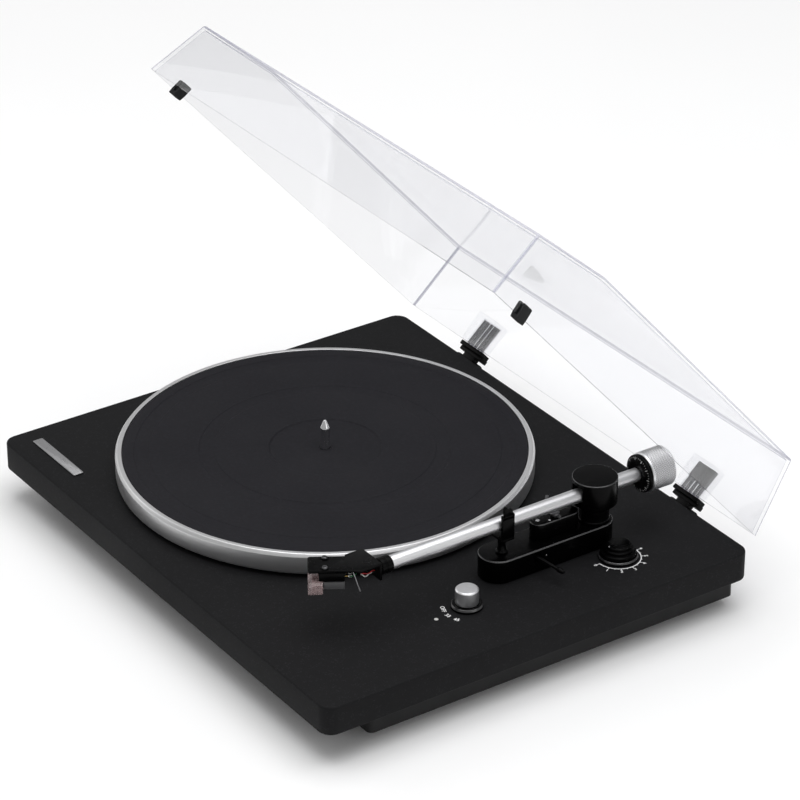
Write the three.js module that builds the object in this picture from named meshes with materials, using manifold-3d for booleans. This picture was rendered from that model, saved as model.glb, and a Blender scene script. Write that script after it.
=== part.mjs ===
// A belt-driven record player: a plinth on a sub-base and feet, a belt drive with its platter,
// a balanced tonearm with its cue lift and rest, the controls, and a clear hinged dust cover.
//
// Millimetres. X runs to the right, Y to the back and Z up. Every piece is placed from the deck,
// whose origin is the middle of the plinth's top face. At the end the deck is moved so that the
// part's own origin is the middle of the underside of its bounding box, on the supporting surface.

import * as THREE from "three";
import { ConvexGeometry } from "three/addons/geometries/ConvexGeometry.js";
import { mergeVertices } from "three/addons/utils/BufferGeometryUtils.js";
import Module from "manifold-3d";

const wasm = await Module();
wasm.setup();

// ---------------------------------------------------------------- driving dimensions

const FIT_GAP = 0.3; // left between pieces that seat on, pass through or run beside each other
const CUT_OVERRUN = 1; // how far a cutting shape runs past the face that it opens

const plinth = { width: 429, depth: 351, thickness: 21.5, cornerRadius: 10, edgeBreak: 0.8 };
const subBase = { sideInset: 10, frontInset: 40, rearInset: 6, height: 17, wall: 9, cornerRadius: 4 };
const bottomPanel = { thickness: 2.5 };
const foot = { height: 8, radius: 16, inset: 34, recessRadius: 6, recessDepth: 3, taper: 1.5 };

const terminals = { width: 116, height: 11.4, thickness: 2, recess: 1, offsetX: 96 };
const jack = { radius: 4.2, bore: 1.7, boreDepth: 10, outside: 5, inside: 10, spacing: 18, offsetX: -44 };
const groundPost = { radius: 1.9, outside: 8.5, inside: 7, nutRadius: 4, nutLength: 5, offsetX: -6 };
const phonoSwitch = { slotWidth: 10, slotHeight: 4.6, knobWidth: 4, knobHeight: 3.6, offsetX: 14 };
const powerInlet = { noseRadius: 4, bodySide: 9.4, bodyDepth: 11, bore: 2.8, pin: 0.9, offsetX: 42 };
const board = { width: 92, depth: 62, thickness: 1.6, rise: 2.2, gapToTerminals: 4 };

const platter = {
  x: -46.7, y: -4.3, radius: 150, underGap: 2.5, rimTop: 18.5, skirtThickness: 9,
  deckThickness: 2.5, rimWidth: 4.7, outerChamfer: 1.5,
};
const mat = { thickness: 2.4, ringDepth: 0.5, labelRadius: 40, labelDepth: 1 };
const matGrooves = [{ inner: 79.5, outer: 90 }, { inner: 126, outer: 136.5 }];
const spindle = { shaftRadius: 4, radius: 3.6, top: 39.5, shoulder: 34, tipRadius: 1.1, depth: 24 };
const subPlatter = { radius: 62, height: 7.7, hubRadius: 12, hubDrop: 1.4 };
const bearing = { flangeRadius: 20, flangeHeight: 2.7, wall: 4.7, floor: 1.8 };
const motor = { radius: 18, depth: 26, plateRadius: 26, plateThickness: 1.6, distance: 105, bearing: 135 };
const motorBoss = { radius: 4, height: 1.6, bore: 1.3, boreDepth: 5 };
const pulley = { radius: 6, flangeRadius: 7.6, flangeHeight: 0.8, shaftRadius: 1 };
const belt = { thickness: 0.8, height: 5 };

const knob = { x: 161.7, y: -27.5, radius: 8.1, height: 11, chamfer: 0.8, shaftRadius: 3 };
const skirt = { radius: 11.3, height: 2.7, indicator: 0.9, indicatorAngle: -109 };
const speedSwitch = { side: 22, height: 11.5, shaftDepth: 7 };
const led = { radius: 1.6, depth: 6, dome: 0.5, distance: 26.5, angle: -86 };
const badge = { width: 60, depth: 8, thickness: 0.7, x: -168, y: -155, cornerRadius: 1 };
const antiSkate = {
  x: 168.6, y: 95.1, flangeRadius: 14, flangeHeight: 2.5, bodyRadius: 12.4, collarRadius: 10.5,
  topRadius: 9, top: 11, shaftRadius: 2.5, shaftDepth: 18,
};

const arm = { x: 141.5, pivotY: 94, height: 41, radius: 5, wall: 0.8, front: -76.4, stubRadius: 3 };
const armBase = { x: 140, radius: 13.9, front: 13.6, height: 18, edge: 0.9 };
const pillar = { radius: 11, height: 9.7, shaftRadius: 3, floor: 1.5 };
const cap = { radius: 16, underside: 32, top: 52, edge: 0.7, slotSide: 0.8, slotRise: 3 };
const pivotPin = { radius: 1.5, length: 5.5, tip: 0.6 };
const collar = { radius: 6, spigotRadius: 3.9, spigot: 8 };
const shell = {
  rear: -86, offset: 6.4, width: 23.8, rearLength: 16.5, noseLength: 29.4, noseWidth: 18.5,
  angle: 32.5, top: 46.5, thickness: 2.2, wallThickness: 2, wallBottom: 33.6,
};
const cartridge = { front: 22, rear: 4.8, halfWidth: 8.5, height: 6.3, pinLength: 4, pinRadius: 0.55 };
const stylus = { front: 19, halfWidth: 7.5, height: 6.6, reach: 5, drop: 2.2, radius: 0.5 };
const guard = { halfWidth: 8.8, height: 10, wall: 1, noseThickness: 2.6 };
const shellScrew = { spacing: 12.7, along: 18, headRadius: 2.2, headHeight: 1.4, radius: 1.2, length: 9 };
const fingerLift = { radius: 0.6, reach: 11.3, fall: 8.5 };

const weight = { front: 134.8, length: 20, radius: 14.4, bushRadius: 6 };
const dial = { length: 4, radius: 13.7, faceRadius: 9, faceDepth: 1.4 };

const rest = { y: 15.5, width: 10, postRadius: 3.2, floorTop: 32.2, floorThickness: 2.2, wall: 2.4 };
const latch = { axis: 49.2, barrel: 1.4, pin: 0.6, top: 57, shoulder: 54.8, hookWidth: 2.6, ear: 1.2 };
const lift = { x: 139, front: 48.5, rear: 74, radius: 6.5, top: 30.5, piston: 2.5, pistonY: 61.3 };
const liftBar = { radius: 33, width: 2.2, height: 1.6, bottom: 31, start: -8, end: 46 };
const lever = { y: 36, z: 12.5, pivotInset: 5.5, radius: 1.3, barrel: 2, reachX: 24, reachY: 6.5, drop: 3.3 };

const cover = {
  width: 417.5, depth: 342.7, height: 57.3, frontHeight: 47.7, bendDepth: 262.6, draft: 9,
  wall: 2.5, rimGap: 4, rearInset: 4.1, openAngle: 48.5,
};
const hinge = {
  x: 131, behind: 4.5, below: 9, width: 27, barrel: 4, pin: 1.6, knuckle: 13, plate: 1.7, heelLow: 6.2,
};
const pocket = { depth: 8.6, height: 25, wall: 2.3, sideWall: 3.6 };
const bumper = { fromFront: 32, width: 8.5, tongue: 8.5, thickness: 2.1 };

const SMALL_SIDES = 20; // sides of a small turned piece
const MEDIUM_SIDES = 32; // sides of a knob, cap or weight
const LARGE_SIDES = 60; // sides of the platter and what turns with it

// ---------------------------------------------------------------- shapes and booleans

const radians = THREE.MathUtils.degToRad;

// A closed geometry as a solid that can be cut and joined, with its faces turned outwards.
function solidOf(geometry) {
  const bare = geometry.clone();
  bare.deleteAttribute("normal");
  bare.deleteAttribute("uv");
  const merged = mergeVertices(bare, 1e-4);
  const corners = merged.index.array;
  const triangles = [];
  for (let i = 0; i < corners.length; i += 3) {
    const [a, b, c] = [corners[i], corners[i + 1], corners[i + 2]];
    if (a !== b && b !== c && c !== a) triangles.push(a, b, c);
  }
  const made = (list) =>
    new wasm.Manifold(
      new wasm.Mesh({
        numProp: 3,
        vertProperties: new Float32Array(merged.attributes.position.array),
        triVerts: new Uint32Array(list),
      }),
    );
  const solid = made(triangles);
  if (solid.volume() > 0) return solid;
  return made(triangles.reverse());
}

function geometryOf(solid) {
  const { numProp, numVert, vertProperties, triVerts } = solid.getMesh();
  const positions = new Float32Array(numVert * 3);
  for (let i = 0; i < numVert; i++) {
    positions.set(vertProperties.subarray(i * numProp, i * numProp + 3), i * 3);
  }
  const geometry = new THREE.BufferGeometry();
  geometry.setAttribute("position", new THREE.BufferAttribute(positions, 3));
  geometry.setIndex(new THREE.BufferAttribute(new Uint32Array(triVerts), 1));
  return geometry;
}

function join(...geometries) {
  return geometryOf(geometries.map(solidOf).reduce((whole, next) => whole.add(next)));
}

function cut(body, ...tools) {
  return geometryOf(tools.map(solidOf).reduce((left, tool) => left.subtract(tool), solidOf(body)));
}

function common(a, b) {
  return geometryOf(solidOf(a).intersect(solidOf(b)));
}

// A box between two corners.
function block([x0, y0, z0], [x1, y1, z1]) {
  const box = new THREE.BoxGeometry(x1 - x0, y1 - y0, z1 - z0);
  return box.translate((x0 + x1) / 2, (y0 + y1) / 2, (z0 + z1) / 2);
}

// A plan outline raised from z = bottom to z = top, with its edges broken by `edge`.
function raised(outline, bottom, top, edge = 0, curveSegments = 8) {
  const options = {
    depth: top - bottom - 2 * edge, curveSegments,
    bevelEnabled: edge > 0, bevelSize: edge, bevelThickness: edge, bevelOffset: -edge, bevelSegments: 1,
  };
  return new THREE.ExtrudeGeometry(outline, options).translate(0, 0, bottom + edge);
}

function roundedRectangle(x0, y0, x1, y1, radius) {
  const outline = new THREE.Shape();
  outline.moveTo(x0 + radius, y0);
  outline.lineTo(x1 - radius, y0);
  outline.absarc(x1 - radius, y0 + radius, radius, -Math.PI / 2, 0);
  outline.lineTo(x1, y1 - radius);
  outline.absarc(x1 - radius, y1 - radius, radius, 0, Math.PI / 2);
  outline.lineTo(x0 + radius, y1);
  outline.absarc(x0 + radius, y1 - radius, radius, Math.PI / 2, Math.PI);
  outline.lineTo(x0, y0 + radius);
  outline.absarc(x0 + radius, y0 + radius, radius, Math.PI, 1.5 * Math.PI);
  return outline;
}

// A bar in plan along Y with round ends, from one end's centre to the other's.
function obround(x, front, rear, radius) {
  const outline = new THREE.Shape();
  outline.absarc(x, front, radius, Math.PI, 2 * Math.PI);
  outline.absarc(x, rear, radius, 0, Math.PI);
  return outline;
}

function polygon(points) {
  return new THREE.Shape(points.map(([x, y]) => new THREE.Vector2(x, y)));
}

// A body turned about Z. Its profile is a list of [radius, z] that starts and ends on the axis.
function turned(profile, sides = SMALL_SIDES) {
  const points = profile.map(([radius, z]) => new THREE.Vector2(radius, z));
  return new THREE.LatheGeometry(points, sides).rotateX(Math.PI / 2);
}

// A turned ring, whose profile closes on itself away from the axis.
function turnedRing(profile, sides = SMALL_SIDES) {
  return turned([...profile, profile[0]], sides);
}

function rod(radius, bottom, top, sides = SMALL_SIDES) {
  return turned([[0, bottom], [radius, bottom], [radius, top], [0, top]], sides);
}

function sleeve(inner, outer, bottom, top, sides = SMALL_SIDES) {
  return turnedRing([[inner, bottom], [outer, bottom], [outer, top], [inner, top]], sides);
}

// Turns a shape made along Z so that it lies along Y, or along X, with its far end at the + end.
const alongY = (geometry) => geometry.rotateX(-Math.PI / 2);
const alongX = (geometry) => geometry.rotateY(Math.PI / 2);

function finish(color, roughness, metalness) {
  return new THREE.MeshStandardMaterial({ color, roughness, metalness });
}

const finishes = {
  plinth: () => finish(0x17171a, 0.62, 0),
  matteBlack: () => finish(0x141416, 0.6, 0),
  glossBlack: () => finish(0x0b0b0d, 0.18, 0),
  rubber: () => finish(0x1b1c22, 0.85, 0),
  mat: () => finish(0x26262c, 0.8, 0),
  platter: () => finish(0xc4c5c8, 0.32, 1),
  aluminium: () => finish(0xcfd0d3, 0.3, 1),
  steel: () => finish(0xd9dadd, 0.15, 1),
  clear: () => finish(0xeef0f6, 0.05, 0),
  clearGuard: () => finish(0xf1e4e4, 0.1, 0),
  greyPlastic: () => finish(0x8d8d90, 0.5, 0),
  motorSteel: () => finish(0x9a9b9f, 0.4, 1),
  boardGreen: () => finish(0x1f4a2c, 0.5, 0),
  brass: () => finish(0xb89a55, 0.3, 1),
  lamp: () => finish(0xf2f2ee, 0.3, 0),
  connectorRed: () => finish(0xa52020, 0.4, 0),
  connectorWhite: () => finish(0xe6e6e2, 0.4, 0),
};

function addPiece(parent, name, geometry, material, position = [0, 0, 0]) {
  const mesh = new THREE.Mesh(geometry, material());
  mesh.name = name;
  mesh.position.set(...position);
  parent.add(mesh);
  return mesh;
}

// ---------------------------------------------------------------- sizes worked out from these

const deckHeight = foot.height + subBase.height + plinth.thickness;
const subBaseTop = -plinth.thickness;
const subBaseBottom = subBaseTop - subBase.height;
const subBaseRight = plinth.width / 2 - subBase.sideInset;
const subBaseFront = -plinth.depth / 2 + subBase.frontInset;
const subBaseRear = plinth.depth / 2 - subBase.rearInset;
const panelTop = subBaseBottom + bottomPanel.thickness;
const terminalZ = (subBaseTop + panelTop) / 2; // height of the row of connectors
const terminalFace = subBaseRear - terminals.recess;

const platterDeckTop = platter.rimTop - mat.thickness - 0.6;
const platterDeckBottom = platterDeckTop - platter.deckThickness;
const matBottom = platterDeckTop + FIT_GAP;
const matTop = matBottom + mat.thickness;
const subPlatterTop = platterDeckBottom - FIT_GAP;
const subPlatterBottom = subPlatterTop - subPlatter.height;
const beltBottom = (subPlatterTop + subPlatterBottom - belt.height) / 2;
const motorX = platter.x + motor.distance * Math.cos(radians(motor.bearing));
const motorY = platter.y + motor.distance * Math.sin(radians(motor.bearing));

const knobBottom = FIT_GAP + skirt.height + FIT_GAP;
const armBaseTop = armBase.height;
const pillarTop = armBaseTop + FIT_GAP + pillar.height;
const hingeY = plinth.depth / 2 + hinge.behind;
const rimFromAxis = hinge.behind + cover.rearInset; // how far the cover's rear rim is in front of the axis
const rimAboveAxis = hinge.below + cover.rimGap;
const dialFront = weight.front - FIT_GAP - dial.length;

// ---------------------------------------------------------------- plinth, sub-base and feet

function plinthSlab() {
  const [w, d] = [plinth.width / 2, plinth.depth / 2];
  const outline = roundedRectangle(-w, -d, w, d, plinth.cornerRadius);
  const slab = raised(outline, -plinth.thickness, 0, plinth.edgeBreak);
  const drilled = (radius, x, y, sides) =>
    rod(radius, -plinth.thickness - CUT_OVERRUN, CUT_OVERRUN, sides).translate(x, y, 0);
  const [ledX, ledY] = ledPlace();
  return cut(
    slab,
    drilled(motor.radius + 2, motorX, motorY, MEDIUM_SIDES),
    drilled(spindle.shaftRadius + bearing.wall + 2 * FIT_GAP, platter.x, platter.y),
    drilled(knob.shaftRadius + FIT_GAP, knob.x, knob.y),
    drilled(antiSkate.shaftRadius + FIT_GAP, antiSkate.x, antiSkate.y),
    drilled(led.radius + FIT_GAP, ledX, ledY),
    drilled(arm.radius, arm.x, arm.pivotY),
  );
}

function ledPlace() {
  const angle = radians(led.angle);
  return [knob.x + led.distance * Math.cos(angle), knob.y + led.distance * Math.sin(angle)];
}

function subBaseFrame() {
  const ring = roundedRectangle(
    -subBaseRight, subBaseFront, subBaseRight, subBaseRear, subBase.cornerRadius,
  );
  const inner = roundedRectangle(
    -subBaseRight + subBase.wall, subBaseFront + subBase.wall,
    subBaseRight - subBase.wall, subBaseRear - subBase.wall, 1,
  );
  ring.holes.push(inner);
  const frame = raised(ring, subBaseBottom, subBaseTop - FIT_GAP, 0, 3);
  const halfWidth = terminals.width / 2 + FIT_GAP;
  const halfHeight = terminals.height / 2 + FIT_GAP;
  const window = block(
    [terminals.offsetX - halfWidth, subBaseRear - subBase.wall - CUT_OVERRUN, terminalZ - halfHeight],
    [terminals.offsetX + halfWidth, subBaseRear + CUT_OVERRUN, terminalZ + halfHeight],
  );
  return cut(frame, window);
}

function bottomSheet() {
  const inset = subBase.wall + FIT_GAP;
  return block(
    [-subBaseRight + inset, subBaseFront + inset, subBaseBottom],
    [subBaseRight - inset, subBaseRear - inset, panelTop],
  );
}

function footPad() {
  const top = -FIT_GAP;
  const bottom = -foot.height;
  const floor = bottom + foot.recessDepth;
  const edge = foot.radius - foot.taper;
  return turned(
    [[0, floor], [foot.recessRadius, floor], [foot.recessRadius, bottom], [edge, bottom],
      [foot.radius, top], [0, top]],
    MEDIUM_SIDES,
  );
}

// ---------------------------------------------------------------- connectors and electronics

function terminalPlate() {
  const halfWidth = terminals.width / 2;
  const halfHeight = terminals.height / 2;
  const behind = terminals.thickness + CUT_OVERRUN;
  const plate = block([-halfWidth, -terminals.thickness, -halfHeight], [halfWidth, 0, halfHeight]);
  const hole = (radius, x) =>
    alongY(rod(radius + FIT_GAP, -behind, CUT_OVERRUN)).translate(x, 0, 0);
  const slot = block(
    [phonoSwitch.offsetX - phonoSwitch.slotWidth / 2, -behind, -phonoSwitch.slotHeight / 2],
    [phonoSwitch.offsetX + phonoSwitch.slotWidth / 2, CUT_OVERRUN, phonoSwitch.slotHeight / 2],
  );
  return cut(
    plate,
    hole(jack.radius, jack.offsetX),
    hole(jack.radius, jack.offsetX + jack.spacing),
    hole(groundPost.radius, groundPost.offsetX),
    hole(powerInlet.noseRadius, powerInlet.offsetX),
    slot,
  );
}

function phonoJack() {
  const back = -terminals.thickness - jack.inside;
  return alongY(
    turned([[0, back], [jack.radius, back], [jack.radius, jack.outside], [jack.bore, jack.outside],
      [jack.bore, jack.outside - jack.boreDepth], [0, jack.outside - jack.boreDepth]]),
  );
}

function groundNut() {
  const start = FIT_GAP;
  const outline = sleeve(
    groundPost.radius + FIT_GAP, groundPost.nutRadius, start, start + groundPost.nutLength, 12,
  );
  return alongY(outline);
}

function phonoSwitchSlider() {
  const { knobWidth, knobHeight, slotWidth, slotHeight } = phonoSwitch;
  const left = -slotWidth / 2 + FIT_GAP;
  const finger = block(
    [left, -terminals.thickness - 1, -knobHeight / 2],
    [left + knobWidth, terminals.recess - 0.2, knobHeight / 2],
  );
  const shoe = block(
    [left - 2, -terminals.thickness - FIT_GAP - 3, -slotHeight / 2 - 1],
    [left + knobWidth + 2, -terminals.thickness - FIT_GAP, slotHeight / 2 + 1],
  );
  return join(finger, shoe);
}

function powerSocket() {
  const side = powerInlet.bodySide / 2;
  const front = -terminals.thickness - FIT_GAP;
  const body = block([-side, front - powerInlet.bodyDepth, -side], [side, front, side]);
  const nose = alongY(rod(powerInlet.noseRadius, front - 1, 0));
  const bore = alongY(sleeve(powerInlet.pin, powerInlet.bore, front - 7, CUT_OVERRUN));
  return cut(join(body, nose), bore);
}

function circuitBoard() {
  const bottom = panelTop + board.rise;
  const top = bottom + board.thickness;
  const rear = terminalFace - terminals.thickness - jack.inside - board.gapToTerminals;
  const [w, x] = [board.width / 2, terminals.offsetX];
  const parts = [block([x - w, rear - board.depth, bottom], [x + w, rear, top])];
  const chips = [[-26, -18, 9, 6, 1.8], [2, -22, 14, 7, 2.2], [28, -40, 8, 12, 2.6]];
  for (const [dx, dy, sizeX, sizeY, height] of chips) {
    parts.push(block([x + dx, rear + dy, top - 0.4], [x + dx + sizeX, rear + dy + sizeY, top + height]));
  }
  for (const [dx, dy] of [[-34, -48], [-22, -48], [-10, -48], [34, -16]]) {
    parts.push(rod(3.2, top - 0.4, top + 6).translate(x + dx, rear + dy, 0));
  }
  for (const [dx, dy] of [[-w + 5, -5], [w - 5, -5], [-w + 5, 5 - board.depth], [w - 5, 5 - board.depth]]) {
    parts.push(rod(2, panelTop + FIT_GAP, top).translate(x + dx, rear + dy, 0));
  }
  return join(...parts);
}

// ---------------------------------------------------------------- platter and belt drive

function platterDish() {
  const { radius, skirtThickness, rimWidth, rimTop, underGap, outerChamfer } = platter;
  const seat = radius - rimWidth;
  const inner = radius - skirtThickness;
  const bore = spindle.shaftRadius + FIT_GAP;
  return turnedRing(
    [[bore, platterDeckBottom], [inner, platterDeckBottom], [inner, underGap], [radius - 0.8, underGap],
      [radius, underGap + 0.8], [radius, rimTop - outerChamfer], [radius - outerChamfer, rimTop],
      [seat, rimTop], [seat, platterDeckTop], [bore, platterDeckTop]],
    LARGE_SIDES,
  );
}

function rubberMat() {
  const outer = platter.radius - platter.rimWidth - FIT_GAP;
  const bore = spindle.radius + FIT_GAP;
  const low = matTop - mat.ringDepth;
  const floor = matTop - mat.labelDepth;
  const profile = [[bore, matBottom], [outer, matBottom], [outer, matTop]];
  for (const { inner, outer: edge } of [...matGrooves].reverse()) {
    profile.push([edge, matTop], [edge - mat.ringDepth, low], [inner + mat.ringDepth, low], [inner, matTop]);
  }
  profile.push([mat.labelRadius, matTop], [mat.labelRadius - mat.labelDepth, floor], [bore, floor]);
  return turnedRing(profile, LARGE_SIDES);
}

function platterSpindle() {
  const shaftTop = platterDeckTop;
  return turned([
    [0, -spindle.depth], [spindle.shaftRadius, -spindle.depth], [spindle.shaftRadius, shaftTop - FIT_GAP],
    [spindle.radius, shaftTop], [spindle.radius, spindle.shoulder], [spindle.tipRadius, spindle.top],
    [0, spindle.top],
  ]);
}

function beltWheel() {
  const bore = spindle.shaftRadius + FIT_GAP;
  const hub = subPlatterBottom - subPlatter.hubDrop;
  return turnedRing(
    [[bore, hub], [subPlatter.hubRadius, hub], [subPlatter.hubRadius, subPlatterBottom],
      [subPlatter.radius, subPlatterBottom], [subPlatter.radius, subPlatterTop], [bore, subPlatterTop]],
    LARGE_SIDES,
  );
}

function bearingHousing() {
  const bore = spindle.shaftRadius + FIT_GAP;
  const tube = bore + bearing.wall;
  const top = FIT_GAP + bearing.flangeHeight;
  const boreFloor = -spindle.depth - FIT_GAP;
  return turned(
    [[0, boreFloor - bearing.floor], [tube, boreFloor - bearing.floor], [tube, FIT_GAP],
      [bearing.flangeRadius, FIT_GAP], [bearing.flangeRadius, top], [bore, top], [bore, boreFloor],
      [0, boreFloor]],
    MEDIUM_SIDES,
  );
}

function driveMotor() {
  const plateTop = FIT_GAP + motor.plateThickness;
  const bossTop = plateTop + motorBoss.height;
  return turned(
    [[0, -motor.depth], [motor.radius, -motor.depth], [motor.radius, FIT_GAP],
      [motor.plateRadius, FIT_GAP], [motor.plateRadius, plateTop], [motorBoss.radius, plateTop],
      [motorBoss.radius, bossTop], [motorBoss.bore, bossTop],
      [motorBoss.bore, bossTop - motorBoss.boreDepth], [0, bossTop - motorBoss.boreDepth]],
    MEDIUM_SIDES,
  );
}

function drivePulley() {
  const low = beltBottom - FIT_GAP;
  const high = beltBottom + belt.height + FIT_GAP;
  const flange = pulley.flangeHeight;
  const shaftFoot = FIT_GAP + motor.plateThickness + motorBoss.height - motorBoss.boreDepth + FIT_GAP;
  return turned([
    [0, shaftFoot], [pulley.shaftRadius, shaftFoot], [pulley.shaftRadius, low - flange],
    [pulley.flangeRadius, low - flange], [pulley.flangeRadius, low], [pulley.radius, low],
    [pulley.radius, high], [pulley.flangeRadius, high], [pulley.flangeRadius, high + flange],
    [0, high + flange],
  ]);
}

// The belt's run in plan: arcs round the large wheel and the pulley, joined by their outer tangents.
function beltRun(offset) {
  const large = subPlatter.radius + offset;
  const small = pulley.radius + offset;
  const lean = Math.acos((large - small) / motor.distance);
  const towards = radians(motor.bearing);
  const [px, py] = [motorX - platter.x, motorY - platter.y];
  const run = new THREE.Path();
  run.absarc(px, py, small, towards - lean, towards + lean);
  run.absarc(0, 0, large, towards + lean, towards - lean + 2 * Math.PI);
  return run;
}

function driveBelt() {
  const outside = new THREE.Shape(beltRun(FIT_GAP + belt.thickness).getPoints(20));
  outside.holes.push(new THREE.Path(beltRun(FIT_GAP).getPoints(20)));
  return raised(outside, beltBottom, beltBottom + belt.height, 0, 1);
}

// ---------------------------------------------------------------- controls

function speedKnob() {
  const top = knobBottom + knob.height;
  const foot = -plinth.thickness - FIT_GAP - speedSwitch.shaftDepth;
  return turned(
    [[0, foot], [knob.shaftRadius, foot], [knob.shaftRadius, knobBottom], [knob.radius, knobBottom],
      [knob.radius, top - knob.chamfer], [knob.radius - knob.chamfer, top], [0, top]],
    MEDIUM_SIDES,
  );
}

function knobSkirt() {
  const bottom = FIT_GAP;
  const top = bottom + skirt.height;
  const ring = turnedRing(
    [[knob.shaftRadius + FIT_GAP, bottom], [skirt.radius, bottom], [skirt.radius, top - 0.6],
      [skirt.radius - 0.6, top], [knob.shaftRadius + FIT_GAP, top]],
    MEDIUM_SIDES,
  );
  const angle = radians(skirt.indicatorAngle);
  const reach = (knob.radius + skirt.radius) / 2;
  const dimple = rod(skirt.indicator, top - 0.4, top + CUT_OVERRUN, 12);
  return cut(ring, dimple.translate(reach * Math.cos(angle), reach * Math.sin(angle), 0));
}

function switchBody() {
  const top = -plinth.thickness - FIT_GAP;
  const side = speedSwitch.side / 2;
  const body = block([-side, -side, top - speedSwitch.height], [side, side, top]);
  const bore = rod(knob.shaftRadius + FIT_GAP, top - speedSwitch.shaftDepth - FIT_GAP, top + CUT_OVERRUN);
  return cut(body, bore);
}

function ledLens() {
  return turned([[0, -led.depth], [led.radius, -led.depth], [led.radius, 0], [led.radius * 0.6, led.dome],
    [0, led.dome]], 16);
}

function antiSkateFlange() {
  const top = FIT_GAP + antiSkate.flangeHeight;
  return turnedRing(
    [[antiSkate.shaftRadius + FIT_GAP, FIT_GAP], [antiSkate.flangeRadius, FIT_GAP],
      [antiSkate.flangeRadius, top - 0.5], [antiSkate.flangeRadius - 0.5, top],
      [antiSkate.shaftRadius + FIT_GAP, top]],
    MEDIUM_SIDES,
  );
}

function antiSkateDial() {
  const bottom = 2 * FIT_GAP + antiSkate.flangeHeight;
  const { shaftRadius, shaftDepth, bodyRadius, collarRadius, topRadius, top } = antiSkate;
  const shoulder = bottom + (top - bottom) * 0.35;
  const step = bottom + (top - bottom) * 0.65;
  return turned(
    [[0, -shaftDepth], [shaftRadius, -shaftDepth], [shaftRadius, bottom], [bodyRadius, bottom],
      [bodyRadius, shoulder - 0.6], [collarRadius, shoulder], [collarRadius, step - 0.4],
      [topRadius, step], [topRadius, top - 0.5], [topRadius - 0.5, top], [0, top]],
    MEDIUM_SIDES,
  );
}

// ---------------------------------------------------------------- tonearm: what stays on the deck

function armBaseBlock() {
  const outline = obround(armBase.x, armBase.front, arm.pivotY, armBase.radius);
  const solid = raised(outline, FIT_GAP, armBaseTop, armBase.edge, 14);
  const side = armBase.x + armBase.radius;
  const slot = block(
    [side - lever.pivotInset - 3, lever.y - 2.2, lever.z - 4],
    [side + CUT_OVERRUN, lever.y + 3.8, lever.z + 4],
  );
  const wireway = rod(3, -CUT_OVERRUN, armBaseTop / 2).translate(arm.x, arm.pivotY, 0);
  return cut(solid, slot, wireway);
}

function armPillar() {
  const bottom = armBaseTop + FIT_GAP;
  const bore = pillar.shaftRadius + FIT_GAP;
  return turned(
    [[0, bottom], [pillar.radius, bottom], [pillar.radius, pillarTop], [bore, pillarTop],
      [bore, bottom + pillar.floor], [0, bottom + pillar.floor]],
    MEDIUM_SIDES,
  );
}

// The rest stands under the tube: a post, a floor that leaves room for the arm to dip, and a wall
// on the tube's outer side with two ears that carry the latch.
function armRest() {
  const half = rest.width / 2;
  const inner = arm.radius + 0.5;
  const outer = inner + rest.wall;
  const floorBottom = rest.floorTop - rest.floorThickness;
  const wallTop = latch.axis - latch.barrel - FIT_GAP;
  const post = turned([[0, armBaseTop + FIT_GAP], [rest.postRadius, armBaseTop + FIT_GAP],
    [rest.postRadius, floorBottom + 0.5], [0, floorBottom + 0.5]]);
  const floor = block([-inner, -half, floorBottom], [outer, half, rest.floorTop]);
  const wall = block([inner, -half, rest.floorTop - 0.5], [outer, half, wallTop]);
  const parts = [post, floor, wall];
  for (const side of [-1, 1]) {
    const [near, far] = [half - latch.ear, half].map((y) => side * y).sort((a, b) => a - b);
    parts.push(block([inner, near, wallTop - 0.5], [outer, far, latch.axis + latch.barrel]));
  }
  const pinHole = alongY(rod(latch.pin + FIT_GAP / 2, -half - CUT_OVERRUN, half + CUT_OVERRUN, 12));
  return cut(join(...parts), pinHole.translate((inner + outer) / 2, 0, latch.axis));
}

// Shown open and upright; it turns over the tube to lock the arm.
function restLatch() {
  const half = rest.width / 2 - latch.ear - FIT_GAP;
  const thickness = rest.wall / 2;
  const barrel = alongY(rod(latch.barrel, -half, half, 16));
  const pin = alongY(rod(latch.pin, -rest.width / 2, rest.width / 2, 12));
  const blade = block([-thickness, -half, 0], [thickness, half, latch.shoulder - latch.axis]);
  const hook = block([-thickness, -half, 0], [thickness, latch.hookWidth - half, latch.top - latch.axis]);
  return join(barrel, pin, blade, hook);
}

function liftBlock() {
  const outline = obround(lift.x, lift.front, lift.rear, lift.radius);
  const bottom = armBaseTop + FIT_GAP;
  const solid = raised(outline, bottom, lift.top, 0.6, 10);
  const bore = rod(lift.piston + FIT_GAP, bottom + 1, lift.top + CUT_OVERRUN);
  return cut(solid, bore.translate(arm.x - 1.5, lift.pistonY, 0));
}

// A piston that carries a bar, which is an arc round the arm's pivot under the tube.
function cueLiftBar() {
  const low = liftBar.bottom;
  const high = low + liftBar.height;
  const outline = new THREE.Shape();
  const angle = (degrees) => radians(-90 - degrees);
  outline.absarc(arm.x, arm.pivotY, liftBar.radius - liftBar.width / 2, angle(liftBar.start),
    angle(liftBar.end), true);
  outline.absarc(arm.x, arm.pivotY, liftBar.radius + liftBar.width / 2, angle(liftBar.end),
    angle(liftBar.start), false);
  const bar = raised(outline, low, high, 0, 18);
  const piston = rod(lift.piston, armBaseTop + FIT_GAP + 1 + FIT_GAP, low + 0.5);
  const head = rod(lift.piston + 1, low - 0.2, high + 0.6);
  return join(bar, ...[piston, head].map((g) => g.translate(arm.x - 1.5, lift.pistonY, 0)));
}

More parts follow.
